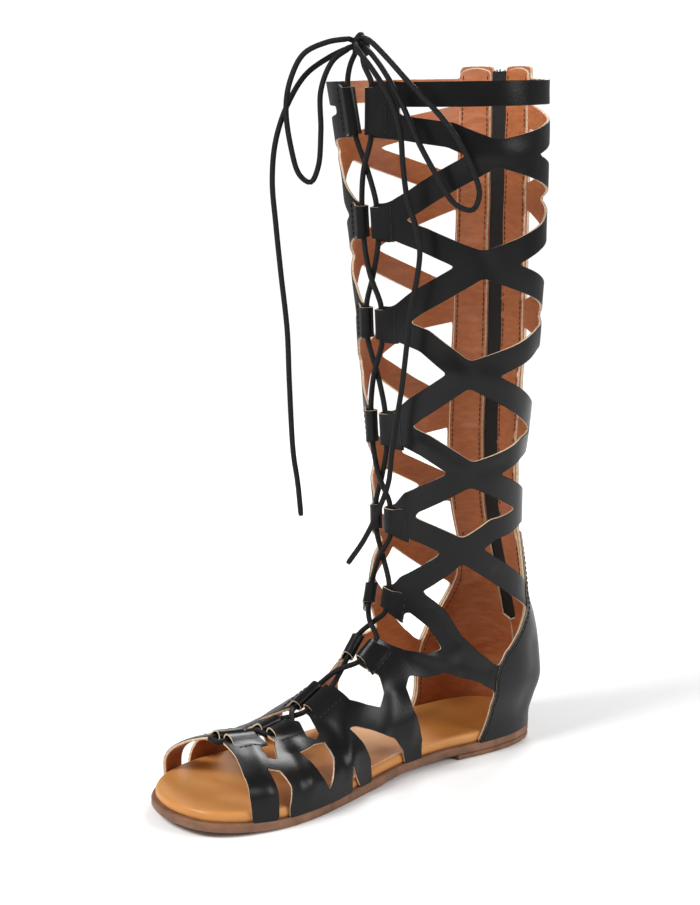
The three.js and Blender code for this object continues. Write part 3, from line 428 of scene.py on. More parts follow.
# A place on the form is [row, turn]: row counts the sections, turn is the
# share of the way round from the lace line (0) to the back line (1).
STRAPS = [
    (STRAP, [[20.68, 0.04], [20.68, 0.85]]),
    (STRAP, [[20.25, 0.08], [20.1, 0.29], [19.8, 0.41], [19.3, 0.66], [18.95, 0.86]]),
    (STRAP, [[18.7, 0.05], [19.0, 0.17], [19.8, 0.41], [20.1, 0.66], [20.3, 0.86]]),
    (STRAP, [[18.7, 0.05], [18.5, 0.2], [18.2, 0.37], [17.7, 0.66], [17.35, 0.86]]),
    (STRAP, [[17.2, 0.07], [17.6, 0.17], [18.2, 0.37], [18.6, 0.63], [18.95, 0.86]]),
    (STRAP, [[17.2, 0.07], [17.0, 0.2], [16.5, 0.34], [16.0, 0.59], [15.6, 0.84]]),
    (STRAP, [[15.1, 0.07], [15.7, 0.17], [16.5, 0.34], [17.1, 0.6], [17.35, 0.86]]),
    (STRAP, [[15.1, 0.08], [14.9, 0.21], [14.5, 0.37], [14.35, 0.68], [14.3, 0.82]]),
    (STRAP, [[12.6, 0.07], [13.3, 0.14], [14.5, 0.37], [15.3, 0.6], [15.7, 0.84]]),
    (STRAP, [[12.5, 0.07], [12.6, 0.33], [12.6, 0.6], [12.6, 0.8]]),
    (STRAP, [[12.6, 0.33], [13.5, 0.48], [14.1, 0.67], [14.3, 0.82]]),
    (STRAP, [[9.8, 0.07], [10.5, 0.11], [11.5, 0.2], [12.5, 0.31]]),
    (13, [[9.8, 0.07], [10.2, 0.14], [10.25, 0.23], [10.0, 0.31], [10.1, 0.45], [10.4, 0.6]]),
    (13, [[7.4, 0.1], [7.9, 0.19], [8.6, 0.26], [9.4, 0.31], [10.1, 0.45]]),
]
TABS = [  # from row, to row, share of the way round that the block reaches
    (20.05, 20.85, 0.14), (18.45, 18.95, 0.09), (16.9, 17.5, 0.1),
    (14.65, 15.55, 0.1), (12.0, 13.0, 0.1), (9.15, 10.15, 0.11),
    (6.6, 7.9, 0.2), (4.2, 5.3, 0.2), (2.65, 3.6, 0.2), (1.05, 2.15, 0.2)]
THROAT = np.array([(0, 1.8), (6.6, 1.8), (7.9, 4.6), (10.3, 4.2), (12, 3), (20, 2.8),
                   (20.85, 6.8), (22, 10)])
VAMP = [
    [1.0, 0.0], [0.8, 0.2], [0.6, 0.32], [0.5, 0.43], [0.55, 0.6], [0.6, 0.97],
    [7.1, 0.97], [7.1, 0.66], [7.3, 0.55], [7.2, 0.38], [7.4, 0.28], [7.9, 0.24],
    [7.9, 0.0]]
CUTOUTS = [
    [[2.3, -0.05], [2.65, -0.05], [2.55, 0.12], [2.3, 0.17], [1.9, 0.27],
     [1.65, 0.25], [1.75, 0.17], [2.2, 0.08]],
    [[3.65, -0.05], [4.15, -0.05], [4.15, 0.08], [4.05, 0.13], [3.9, 0.22],
     [3.65, 0.24], [3.5, 0.19], [3.75, 0.08]],
    [[5.4, -0.05], [6.5, -0.05], [6.55, 0.09], [6.8, 0.17], [6.6, 0.25],
     [6.2, 0.3], [5.8, 0.25], [5.4, 0.18], [5.35, 0.09]],
    [[2.8, 0.26], [3.5, 0.25], [3.85, 0.27], [3.8, 0.37], [3.5, 0.46],
     [3.3, 0.5], [3.0, 0.41]],
    [[1.3, 0.31], [1.7, 0.33], [1.8, 0.42], [1.65, 0.51], [1.6, 0.97],
     [1.2, 0.97], [1.25, 0.47]],
    [[4.4, 0.42], [4.6, 0.5], [4.8, 0.58], [4.85, 0.97], [4.4, 0.97], [4.4, 0.58]],
    [[4.8, 0.29], [5.1, 0.3], [5.6, 0.36], [6.4, 0.47], [6.65, 0.56],
     [6.6, 0.97], [5.3, 0.97], [5.3, 0.49], [5.1, 0.39]],
]
COUNTER = [
    [13.8, 1.03], [13.8, 0.8], [12.6, 0.74], [12.0, 0.67], [11.4, 0.6], [10.9, 0.56],
    [10.3, 0.54], [9.7, 0.56], [9.3, 0.6], [8.6, 0.66], [8.2, 0.75], [8.0, 1.03]]
TUNNEL_RADIUS = 3.4
FACING_NEAR, FACING_FAR = 6.0, 29.0
FACING_FOOT_ROW, FACING_TOP_ROW = 12.05, 21.15
ZIP_FOOT_ROW, ZIP_TOP_ROW = 12.25, 21.0


def smoothstep(low, high, value):
    t = np.clip((value - low) / (high - low), 0, 1)
    return t * t * (3 - 2 * t)


def section_at(row):
    """Section sizes at a row, smoothly between the table's rows."""
    last = len(SECTIONS) - 1
    at = min(max(row, 0), last - 1e-9)
    i = int(at)
    t = at - i
    a, b, c, d = (SECTIONS[min(max(k, 0), last)] for k in (i - 1, i, i + 1, i + 2))
    return 0.5 * (2 * b + (c - a) * t + (2 * a - 5 * b + 4 * c - d) * t * t
                  + (3 * b - a - 3 * c + d) * t ** 3)


side_edges = {}
for side in (1, -1):
    edge = outline[outline[:, 1] * side >= 0]
    edge = edge[np.argsort(edge[:, 0])]
    side_edges[side] = edge


def feather_width(x, side):
    """Half width at x of the line where the leather meets the sole."""
    middle = (OUTLINE[0, 0] + TOE_TIP[0]) / 2
    reach = middle - OUTLINE[0, 0]
    at = np.clip(x + FEATHER_INSET * (x - middle) / reach, OUTLINE[0, 0], TOE_TIP[0])
    edge = side_edges[side]
    width = np.abs(np.interp(at, edge[:, 0], edge[:, 1]))
    return np.maximum(0, width - FEATHER_INSET * np.minimum(1, width / 12))


ROW_FINE, TURN_FINE = 0.04, 160
form_rows = np.arange(0, len(SECTIONS) - 1 + 1e-6, ROW_FINE)
quarter = np.linspace(0, math.pi / 2, 73)
form_grid = np.zeros((len(form_rows), 2 * TURN_FINE + 1, 3))
form_length = np.zeros((len(form_rows), 2))
for r, row in enumerate(form_rows):
    fx, fz, bx, bz, medial, lateral, widest, crown0, base = section_at(row)
    for s, side in enumerate((1, -1)):
        wide = medial if side > 0 else lateral
        crown = crown0 if side > 0 else crown0 - 0.45 * (1 - smoothstep(40, 110, fz))
        sine, cosine = np.sin(quarter).clip(0), np.cos(quarter).clip(0)
        along = np.r_[widest * (1 - cosine ** (2 / crown)),
                      (widest + (1 - widest) * sine ** (2 / base))[1:]]
        out = np.r_[sine ** (2 / crown), (cosine ** (2 / base))[1:]]
        x, z = fx + (bx - fx) * along, fz + (bz - fz) * along
        grip = 1 - smoothstep(6, 32, z - np.interp(x, SOLE_TOP[:, 0], SOLE_TOP[:, 1]))
        foot = feather_width(x, side) * np.clip(out * 4, 0, 1)
        y = side * (wide * out * (1 - grip) + foot * grip)
        half = np.stack([x, y, z], 1)
        walked = np.r_[0, np.cumsum(np.linalg.norm(np.diff(half, axis=0), axis=1))]
        even = np.linspace(0, walked[-1], TURN_FINE + 1)
        half = np.stack([np.interp(even, walked, half[:, k]) for k in range(3)], 1)
        form_length[r, s] = walked[-1]
        if side > 0:
            form_grid[r, :TURN_FINE + 1] = half
        else:
            form_grid[r, TURN_FINE:] = half[::-1]
along_place = np.gradient(form_grid, axis=1)
along_row = np.gradient(form_grid, axis=0)
form_normal = np.cross(along_place, along_row)
form_normal /= np.linalg.norm(form_normal, axis=2)[..., None] + 1e-12


def look_up(table, row, place):
    """Bilinear look-up. place runs 0 to 1 round the medial side, on to 2 back."""
    r = np.clip(np.asarray(row, float) / ROW_FINE, 0, len(form_rows) - 1.001)
    s = np.clip(np.asarray(place, float) * TURN_FINE, 0, 2 * TURN_FINE - 0.001)
    i, j = r.astype(int), s.astype(int)
    a, b = (r - i)[..., None], (s - j)[..., None]
    return ((1 - a) * ((1 - b) * table[i, j] + b * table[i, j + 1])
            + a * ((1 - b) * table[i + 1, j] + b * table[i + 1, j + 1]))


def form_point(row, place):
    return look_up(form_grid, row, place)


def form_out(row, place):
    n = look_up(form_normal, row, place)
    return n / (np.linalg.norm(n, axis=-1)[..., None] + 1e-12)


def half_length(row, side):
    return np.interp(row, form_rows, form_length[:, 0 if side > 0 else 1])


def place_of(turn, side):
    return turn if side > 0 else 2 - turn


def arc_from_lace(row, place):
    medial = place <= 1
    turn = np.where(medial, place, 2 - place)
    return turn * np.where(medial, half_length(row, 1), half_length(row, -1))


def arc_from_back(row, place):
    medial = place <= 1
    return np.abs(1 - place) * np.where(medial, half_length(row, 1), half_length(row, -1))


def chart_line(path, side, steps=10):
    """A path of [row, turn] laid on one side of the form."""
    path = np.asarray(path, float)
    t = np.arange(0, len(path) - 1 + 1e-9, 1 / steps)
    knots = np.arange(len(path))
    row, turn = np.interp(t, knots, path[:, 0]), np.interp(t, knots, path[:, 1])
    return form_point(row, place_of(np.clip(turn, 0, 1), side))


FAR = 25.0


def distance_to(points, line):
    """Distance of each point to a polyline, or FAR."""
    best = np.full(len(points), FAR * FAR)
    low, high = line.min(0) - FAR, line.max(0) + FAR
    near = np.where(((points > low) & (points < high)).all(1))[0]
    p = points[near]
    reach = np.full(len(near), FAR * FAR)
    for a, b in zip(line[:-1], line[1:]):
        d = b - a
        span = d @ d
        if span < 1e-12:
            continue
        t = np.clip((p - a) @ d / span, 0, 1)
        reach = np.minimum(reach, ((p - a - t[:, None] * d) ** 2).sum(1))
    best[near] = reach
    return np.sqrt(best)


def inside(polygon, row, turn):
    """Whether each [row, turn] is in a polygon."""
    found = np.zeros(len(row), bool)
    for (ra, ta), (rb, tb) in zip(polygon, polygon[-1:] + polygon[:-1]):
        if ta == tb:
            continue
        found ^= ((ta > turn) != (tb > turn)) & (row < (rb - ra) * (turn - ta) / (tb - ta) + ra)
    return found


def smooth_min(a, b, radius):
    h = np.clip(0.5 + 0.5 * (b - a) / radius, 0, 1)
    return b + (a - b) * h - radius * h * (1 - h)


def area_field(polygon, row, place, points):
    """Signed distance to an area on both sides, negative in it."""
    field = np.full(len(row), FAR)
    turn = np.where(place <= 1, place, 2 - place)
    for side in (1, -1):
        mine = (place <= 1) if side > 0 else (place > 1)
        line = chart_line(polygon + polygon[:1], side, 8)
        found = distance_to(points[mine], line)
        found = np.where(inside(polygon, row[mine], turn[mine]), -found, found)
        field[mine] = np.minimum(field[mine], found)
    return field


def throat_arc(row):
    return np.interp(row, THROAT[:, 0], THROAT[:, 1]) + TUNNEL_RADIUS


def facing_field(row, place, points, trim=0.0):
    """The two strips beside the zip; trimmed, they are the rounder lining's."""
    arc = arc_from_back(row, place)
    middle = (FACING_NEAR + FACING_FAR) / 2
    across = np.abs(arc - middle) - (FACING_FAR - FACING_NEAR) / 2 + trim
    crown = 0.02 * (arc - middle) ** 2 if trim else 0.00004 * (arc - middle) ** 4
    top = form_point(FACING_TOP_ROW, 1.0)[2] - crown - trim
    return np.maximum(np.maximum(across, points[:, 2] - top), (FACING_FOOT_ROW - row) * 30)


def cage_field(row, place, points):
    """Signed distance to the cage's leather, negative on it."""
    field = np.full(len(row), FAR)
    for width, path in STRAPS:
        near = np.full(len(row), FAR)
        for side in (1, -1):
            mine = (place <= 1) if side > 0 else (place > 1)
            near[mine] = distance_to(points[mine], chart_line(path, side)) - width / 2
        field = smooth_min(field, near, STRAP_FILLET)
    blocks = [[[a, -0.03], [b, -0.03], [b, reach], [a, reach]] for a, b, reach in TABS]
    for polygon in [VAMP, COUNTER] + blocks:
        field = smooth_min(field, area_field(polygon, row, place, points), STRAP_FILLET)
    for polygon in CUTOUTS:
        hole = area_field(polygon, row, place, points)
        field = np.where(row < 8.2, np.maximum(field, -hole), field)
    arc = arc_from_back(row, place)
    gap = np.where(row > FACING_FOOT_ROW, FACING_NEAR - arc,
                   np.minimum(FACING_NEAR - arc, (row - ZIP_FOOT_ROW) * 30))
    field = np.maximum(field, gap)
    field = np.minimum(field, facing_field(row, place, points))
    field = np.maximum(field, throat_arc(row) + 1.2 - arc_from_lace(row, place))
    return np.maximum(field, np.interp(points[:, 0], SOLE_TOP[:, 0], SOLE_TOP[:, 1])
                      + 0.1 - points[:, 2])


CELL = 1.5


def even_rows(start, end, step):
    """Rows at an even step along the form."""
    rows = np.linspace(start, end, 1500)
    front, back = form_point(rows, 0.02), form_point(rows, 1.0)
    walked = 0.5 * (np.linalg.norm(np.diff(front, axis=0), axis=1)
                    + np.linalg.norm(np.diff(back, axis=0), axis=1))
    walked = np.r_[0, np.cumsum(walked)]
    return np.interp(np.linspace(0, walked[-1], int(walked[-1] / step) + 2), walked, rows)


def cut_sheet(rows, places, field):
    """The form's surface where a field is negative: [row, place]s and faces."""
    grid_row, grid_place = np.meshgrid(rows, places, indexing="ij")
    flat_row, flat_place = grid_row.ravel(), grid_place.ravel()
    f = field(flat_row, flat_place, form_point(flat_row, flat_place)).reshape(grid_row.shape)
    spots, faces, ids = [], [], {}

    def corner(at):
        if at not in ids:
            ids[at] = len(spots)
            spots.append((rows[at[0]], places[at[1]]))
        return ids[at]

    def crossing(at, to):
        key = (at, to) if at < to else (to, at)
        if key not in ids:
            a, b = key
            share = min(0.95, max(0.05, f[a] / (f[a] - f[b])))
            ids[key] = len(spots)
            spots.append((rows[a[0]] + share * (rows[b[0]] - rows[a[0]]),
                          places[a[1]] + share * (places[b[1]] - places[a[1]])))
        return ids[key]

    leather = f < 0
    some = (leather[:-1, :-1] | leather[:-1, 1:] | leather[1:, :-1] | leather[1:, 1:])
    for i, j in zip(*np.where(some)):
        i, j = int(i), int(j)
        ring = [(i, j), (i, j + 1), (i + 1, j + 1), (i + 1, j)]
        loop = []
        for k in range(4):
            here, ahead = ring[k], ring[(k + 1) % 4]
            if leather[here]:
                loop.append(corner(here))
            if leather[here] != leather[ahead]:
                loop.append(crossing(here, ahead))
        faces.append(tuple(loop))
    return np.array(spots), faces


# Soft folds in the leather: side, depth (a trough is negative),
# width, and the [row, turn]s along each.
CREASES = [
    (1, -0.7, 4, [[9.4, 0.3], [9.9, 0.38], [10.3, 0.5]]),
    (1, 0.8, 4, [[8.6, 0.2], [9.2, 0.29], [9.9, 0.34]]),
    (1, -0.6, 3, [[10.5, 0.22], [10.1, 0.32], [9.5, 0.4]]),
    (1, 0.9, 5, [[7.6, 0.3], [7.0, 0.45], [6.8, 0.65], [6.9, 0.9]]),
    (1, -0.7, 5, [[6.9, 0.28], [6.4, 0.4], [6.2, 0.5]]),
    (1, 0.8, 5, [[5.0, 0.2], [4.6, 0.35], [4.2, 0.5], [4.0, 0.7]]),
    (1, -0.7, 4, [[4.3, 0.2], [4.2, 0.38], [4.05, 0.55]]),
    (1, 0.7, 5, [[3.0, 0.18], [2.6, 0.35], [2.4, 0.6], [2.3, 0.9]]),
    (1, -0.6, 4, [[2.6, 0.25], [2.2, 0.4], [2.0, 0.7]]),
    (1, 0.6, 4, [[1.6, 0.15], [1.1, 0.35], [0.9, 0.6]]),
    (1, -0.8, 9, [[11.6, 0.74], [10.4, 0.76], [9.2, 0.82]]),
    (1, 0.7, 7, [[12.4, 0.84], [11.2, 0.85], [9.8, 0.9], [8.8, 0.96]]),
    (1, -0.5, 4, [[12.6, 0.5], [12.6, 0.62], [12.6, 0.74]]),
    (1, 0.6, 5, [[14.5, 0.36], [14.6, 0.3], [14.9, 0.2]]),
    (1, -0.5, 4, [[14.9, 0.5], [14.6, 0.4], [14.2, 0.3]]),
    (1, 0.5, 6, [[16.5, 0.2], [16.5, 0.34], [16.4, 0.5]]),
    (1, -0.5, 4, [[16.9, 0.3], [16.5, 0.35], [16.1, 0.38]]),
    (1, -0.5, 5, [[18.5, 0.35], [18.2, 0.38], [17.9, 0.42]]),
    (1, 0.5, 6, [[19.8, 0.3], [19.8, 0.42], [19.8, 0.52]]),
    (-1, 0.7, 5, [[7.6, 0.3], [7.0, 0.45], [6.8, 0.65], [6.9, 0.9]]),
    (-1, -0.7, 5, [[5.9, 0.3], [5.2, 0.36], [4.2, 0.34], [3.4, 0.3]]),
    (-1, 0.7, 5, [[4.9, 0.25], [4.2, 0.36], [3.9, 0.6]]),
    (-1, -0.6, 4, [[2.7, 0.25], [2.2, 0.4], [2.0, 0.7]]),
    (-1, 0.8, 6, [[9.2, 0.3], [9.9, 0.4], [10.3, 0.5]]),
    (-1, -0.8, 9, [[11.6, 0.76], [10.4, 0.78], [9.2, 0.84]]),
    (-1, 0.6, 6, [[14.5, 0.3], [14.5, 0.37], [14.5, 0.45]]),
    (-1, 0.6, 6, [[16.5, 0.25], [16.5, 0.34], [16.5, 0.45]]),
    (-1, -0.6, 6, [[18.2, 0.3], [18.2, 0.37], [18.2, 0.46]]),
    (-1, 0.6, 6, [[19.8, 0.3], [19.8, 0.42], [19.8, 0.52]]),
]
FOLD_GAIN = 1.4
crease_lines = [(depth, width, chart_line(path, side, 8))
                for side, depth, width, path in CREASES]


def relief(points):
    """How far the leather stands off its form: folds, and a slow waviness."""
    x, y, z = points.T
    lift = 0.28 * np.sin(x / 9 + z / 13) * np.sin(z / 17 - y / 11)
    lift += 0.16 * np.sin(x / 5.1 - z / 6.3 + y / 7)
    for depth, width, line in crease_lines:
        lift += FOLD_GAIN * depth * np.exp(-(distance_to(points, line) / width) ** 2)
    # nothing moves at the sole
    return lift * smoothstep(4, 16, z - np.interp(x, SOLE_TOP[:, 0], SOLE_TOP[:, 1]))


def thicken(name, spots, faces, inner, outer, materials, lip=0.3, bulge=(0.3, 0.1), waves=True):
    """A sheet of leather between two heights off the form, with a cut edge.

    bulge is how far the edge stands out at its outer and inner corners."""
    row, place = spots.T
    points, out = form_point(row, place), form_out(row, place)
    if waves:
        points = points + out * relief(points)[:, None]
    high = outer(row, place, points) if callable(outer) else outer
    low = inner(row, place, points) if callable(inner) else inner
    high, low = np.broadcast_to(high, len(row)), np.broadcast_to(low, len(row))
    used = {(loop[k], loop[(k + 1) % len(loop)]) for loop in faces for k in range(len(loop))}
    border = [(a, b) for a, b in used if (b, a) not in used]
    border.sort()
    sideways = np.zeros_like(points)
    for a, b in border:
        push = np.cross(points[b] - points[a], out[a])
        sideways[a] += push
        sideways[b] += push
    for _ in range(3):  # even out the direction along the edge
        beside = sideways.copy()
        for a, b in border:
            beside[a] += sideways[b]
            beside[b] += sideways[a]
        sideways = beside
    sideways /= np.linalg.norm(sideways, axis=1)[:, None] + 1e-9
    count = len(row)
    rim = sorted({v for pair in border for v in pair})
    rim_id = {v: 2 * count + 2 * k for k, v in enumerate(rim)}
    layers = [points + out * high[:, None], points + out * low[:, None]]
    extra = []
    for v in rim:
        for level, stand in zip((high[v] - lip, low[v] + lip), bulge):
            extra.append(points[v] + out[v] * level + sideways[v] * stand)
    vertices = np.vstack(layers + [np.array(extra)])
    polygons = [tuple(f) for f in faces]
    indices = [0] * len(faces)
    polygons += [tuple(v + count for v in reversed(f)) for f in faces]
    indices += [1] * len(faces)
    for a, b in border:
        ra, rb = rim_id[a], rim_id[b]
        polygons += [(b, a, ra, rb), (rb, ra, ra + 1, rb + 1),
                     (rb + 1, ra + 1, a + count, b + count)]
        indices += [0, 2, 1]
    return mesh_object(name, vertices, polygons, materials, indices, sharp=38)


# Coated leather is calendered smooth: half gloss, with a very fine grain that
# breaks the highlight, and slightly duller patches where it has been handled.
black_leather, tree = new_material("black_coated_leather")
place = add_node(tree, "ShaderNodeTexCoord").outputs["Object"]
cells = add_node(tree, "ShaderNodeTexVoronoi", {
    "Vector": place, "Scale": 1300.0}, feature="SMOOTH_F1")
handled = add_node(tree, "ShaderNodeTexNoise", {
    "Vector": place, "Scale": 38.0, "Detail": 3.0, "Roughness": 0.5})
tone = add_node(tree, "ShaderNodeValToRGB", {"Fac": handled.outputs["Fac"]})
tone.color_ramp.elements[0].color = linear("#090909")
tone.color_ramp.elements[1].color = linear("#151414")
gloss = add_node(tree, "ShaderNodeMapRange", {
    "Value": handled.outputs["Fac"], "To Min": 0.26, "To Max": 0.4})
pucker = add_node(tree, "ShaderNodeBump", {
    "Height": handled.outputs["Fac"], "Strength": 0.22, "Distance": 0.0015})
grain = add_node(tree, "ShaderNodeBump", {
    "Height": cells.outputs["Distance"], "Normal": pucker.outputs[0],
    "Strength": 0.22, "Distance": 0.00025})
finish_material(tree, add_node(tree, "ShaderNodeBsdfPrincipled", {
    "Base Color": tone.outputs["Color"], "Roughness": gloss.outputs[0],
    "Specular IOR Level": 0.24, "Normal": grain.outputs[0]}))

# The lining is thin tan pigskin glued behind, matt, with small cross wrinkles.
# Its colour is darker in the wrinkles' hollows, which is painted shade.
tan_lining, tree = new_material("tan_pigskin_lining")
place = add_node(tree, "ShaderNodeTexCoord").outputs["Object"]
squeezed = add_node(tree, "ShaderNodeMapping", {"Vector": place, "Scale": (120, 120, 420)})
wrinkles_and_shade = add_node(tree, "ShaderNodeTexNoise", {
    "Vector": squeezed.outputs[0], "Scale": 1.0, "Detail": 5.0, "Roughness": 0.62,
    "Distortion": 0.6})
pores = add_node(tree, "ShaderNodeTexNoise", {
    "Vector": place, "Scale": 1900.0, "Detail": 2.0})
# the noise that raises the wrinkles also darkens the colour in their hollows: painted shade
tone = add_node(tree, "ShaderNodeValToRGB", {"Fac": wrinkles_and_shade.outputs["Fac"]})
tone.color_ramp.elements[0].position = 0.25
tone.color_ramp.elements[0].color = linear("#98552F")
tone.color_ramp.elements[1].position = 0.7
tone.color_ramp.elements[1].color = linear("#B26B3D")
folds = add_node(tree, "ShaderNodeBump", {
    "Height": wrinkles_and_shade.outputs["Fac"], "Strength": 0.3, "Distance": 0.0008})
skin = add_node(tree, "ShaderNodeBump", {
    "Height": pores.outputs["Fac"], "Normal": folds.outputs[0],
    "Strength": 0.2, "Distance": 0.0002})
finish_material(tree, add_node(tree, "ShaderNodeBsdfPrincipled", {
    "Base Color": tone.outputs["Color"], "Roughness": 0.5, "Normal": skin.outputs[0]}))

# The core of the leather where a knife cut it: pale, fibrous and dry.
raw_edge, tree = new_material("raw_leather_edge")
place = add_node(tree, "ShaderNodeTexCoord").outputs["Object"]
fibres = add_node(tree, "ShaderNodeTexNoise", {
    "Vector": place, "Scale": 700.0, "Detail": 4.0, "Roughness": 0.7})
tone = add_node(tree, "ShaderNodeValToRGB", {"Fac": fibres.outputs["Fac"]})
tone.color_ramp.elements[0].position = 0.3
tone.color_ramp.elements[0].color = linear("#B99C7C")
tone.color_ramp.elements[1].position = 0.65
tone.color_ramp.elements[1].color = linear("#E4D2B8")
fuzz = add_node(tree, "ShaderNodeBump", {
    "Height": fibres.outputs["Fac"], "Strength": 0.5, "Distance": 0.0003})
finish_material(tree, add_node(tree, "ShaderNodeBsdfPrincipled", {
    "Base Color": tone.outputs["Color"], "Roughness": 0.85, "Normal": fuzz.outputs[0]}))

LEATHER = [black_leather, tan_lining, raw_edge]
ring_places = np.linspace(0, 2, 2 * 84 + 1)
cage_rows = even_rows(0.3, 21.75, CELL)
cage = thicken("leather_cage", *cut_sheet(cage_rows, ring_places, cage_field),
               -WALL / 2, WALL / 2, LEATHER)
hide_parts("upper")


# ------------------------------------------------------------- heel counter
# A second piece of the black leather laid over the strap ends, and its tan
# lining inside, which stands a little back from the edge and is stitched.
def counter_field(trim):
    def field(row, place, points):
        found = area_field(COUNTER, row, place, points) + trim
        gap = np.where(row > FACING_FOOT_ROW, 3.0, 0.0) - arc_from_back(row, place)
        found = np.where(row > ZIP_FOOT_ROW, np.maximum(found, gap + FACING_NEAR - 3), found)
        foot = np.interp(points[:, 0], SOLE_TOP[:, 0], SOLE_TOP[:, 1]) + 0.1 - points[:, 2]
        return np.maximum(found, foot)
    return field


# small ridges that the glue draws up in the linings, at seeded places
LINING_FACE = -1.7
pucker_random = np.random.default_rng(11)
PUCKERS = []  # side, height, distance off the back line, slope, depth, width, reach
level = 15.0
while level < 392:
    level += pucker_random.uniform(2.5, 9)
    for side in (1, -1):
        PUCKERS.append((side, level + pucker_random.uniform(-2, 2),
                        pucker_random.uniform(6, 34), pucker_random.uniform(-0.4, 0.4),
                        pucker_random.uniform(0.3, 0.85), pucker_random.uniform(1.1, 2.0),
                        pucker_random.uniform(4, 13)))


def puckered(row, place, points):
    """The lining's inner face, drawn into small ridges across the strip."""
    arc = arc_from_back(row, place)
    lift = np.zeros(len(row))
    for side, level, middle, slope, depth, width, reach in PUCKERS:
        away = points[:, 2] - level - slope * (arc - middle)
        ridge = depth * np.exp(-(away / width) ** 2 - ((arc - middle) / reach) ** 2)
        lift += np.where((place <= 1) == (side > 0), ridge, 0)
    return LINING_FACE - lift


counter_rows = even_rows(7.7, 14.2, CELL)
counter_places = ring_places[(ring_places > 0.45) & (ring_places < 1.55)]
counter = thicken("heel_counter", *cut_sheet(counter_rows, counter_places, counter_field(0)),
                  0.8, 1.75, [black_leather, black_leather, raw_edge], lip=0.28)
counter_lining = thicken(
    "counter_lining", *cut_sheet(counter_rows, counter_places, counter_field(0.9)),
    puckered, -0.8, [black_leather, tan_lining, raw_edge], lip=0.12, bulge=(0.7, 0.05))


# ------------------------------------------------------------- zip facings
# Two strips of the tan lining leather cover the strap ends beside the zip.
# They are stitched along both edges, and their pale edges show.
FACING_TRIM = 1.3  # the lining inside the black leather's edge
facing_rows = even_rows(FACING_FOOT_ROW - 0.3, 21.4, 0.75 * CELL)
facing_places = ring_places[(ring_places > 0.68) & (ring_places < 1.32)]
facing_lining = thicken(
    "facing_lining",
    *cut_sheet(facing_rows, facing_places,
               lambda r, p, q: facing_field(r, p, q, FACING_TRIM)),
    puckered, -0.8, [black_leather, tan_lining, raw_edge], lip=0.12, bulge=(0.7, 0.05))


# -------------------------------------------------------------- lace tabs
# The black leather's front end is turned round the lace and stitched down on
# the inside, which makes a tunnel at each tab.
TUNNEL_INDENT = 1.6
FOLD_LEATHER = 0.85
# across the tab: distance back from the tunnel's middle, height off the form
FOLD_OUTER = [
    (12.5, 0.1), (10.5, 0.75), (8.5, 1.1), (6, 1.7), (3.6, 2.6), (1.8, 3.25), (0, 3.45),
    (-1.7, 3.0),
    (-2.9, 1.85), (-3.45, 0), (-3.0, -1.7), (-1.7, -2.9), (0, -3.35), (2.0, -2.9),
    (4.2, -2.35), (6.5, -2.1), (8.5, -2.0)]


def tunnel_ends(tab, side):
    """The middle of a tab's tunnel at its low and high mouth, and its direction."""
    ends = []
    for row in tab[:2]:
        turn = throat_arc(row) / half_length(row, side)
        ends.append(form_point(row, place_of(turn, side)))
    along = ends[1] - ends[0]
    along /= np.linalg.norm(along)
    return ends[0] + along * TUNNEL_INDENT, ends[1] - along * TUNNEL_INDENT, along


def offset_profile(line, by):
    """A flat polyline moved to its right."""
    d = np.gradient(line, axis=0)
    d /= np.linalg.norm(d, axis=1)[:, None]
    return line + np.stack([d[:, 1], -d[:, 0]], 1) * by


fold_outer = smooth_line(FOLD_OUTER, 0.55)
fold_inner = offset_profile(fold_outer, -FOLD_LEATHER)
fold_loop = np.vstack([fold_outer, fold_inner[::-1]])
fold_count = len(fold_outer)


def tab_fold(tab, side, vertices, faces, indices):
    """Add one tab's folded leather to the lists."""
    low, high, along = tunnel_ends(tab, side)
    start = len(vertices)
    stations = 15
    for k in range(stations):
        t = k / (stations - 1)
        row = tab[0] + (tab[1] - tab[0]) * t
        length = half_length(row, side)
        arc = throat_arc(row)
        seat = form_point(row, place_of(arc / length, side))
        axis = low + (high - low) * t
        at = np.clip((arc + fold_loop[:, 0]) / length, 0, 1)
        rows = np.full(len(at), row)
        spots = form_point(rows, place_of(at, side))
        out = form_out(rows, place_of(at, side))
        out[:] = out * 0.35 + form_out(row, place_of(arc / length, side)) * 0.65
        out /= np.linalg.norm(out, axis=1)[:, None]
        wave = relief(spots) * smoothstep(3, 9, fold_loop[:, 0])
        shift = (axis - seat)[None] * (1 - smoothstep(3.4, 9, fold_loop[:, 0]))[:, None]
        flare = 1 + 0.05 * (2 * t - 1) ** 4
        spots = spots + shift + out * (fold_loop[:, 1] * flare + wave)[:, None]
        vertices.extend(spots)
    n = len(fold_loop)
    for k in range(stations - 1):
        for i in range(n):
            j = (i + 1) % n
            a, b = start + k * n + i, start + k * n + j
            quad = (a, b, b + n, a + n) if side > 0 else (a, a + n, b + n, b)
            faces.append(quad)
            indices.append(2 if i == fold_count - 1 or i == n - 1 else 0)
    for i in range(fold_count - 1):
        a, b = i, i + 1
        c, d = n - 1 - b, n - 1 - a
        for base, flip in ((start, side > 0), (start + (stations - 1) * n, side < 0)):
            quad = (base + a, base + d, base + c, base + b)
            faces.append(quad if flip else quad[::-1])
            indices.append(2)


vertices, faces, indices = [], [], []
for tab in TABS:
    for side in (1, -1):
        tab_fold(tab, side, vertices, faces, indices)
tabs = mesh_object("lace_tabs", vertices, faces, LEATHER, indices, sharp=40)
work = bmesh.new()
work.from_mesh(tabs.data)
bmesh.ops.recalc_face_normals(work, faces=work.faces)
work.to_mesh(tabs.data)
work.free()


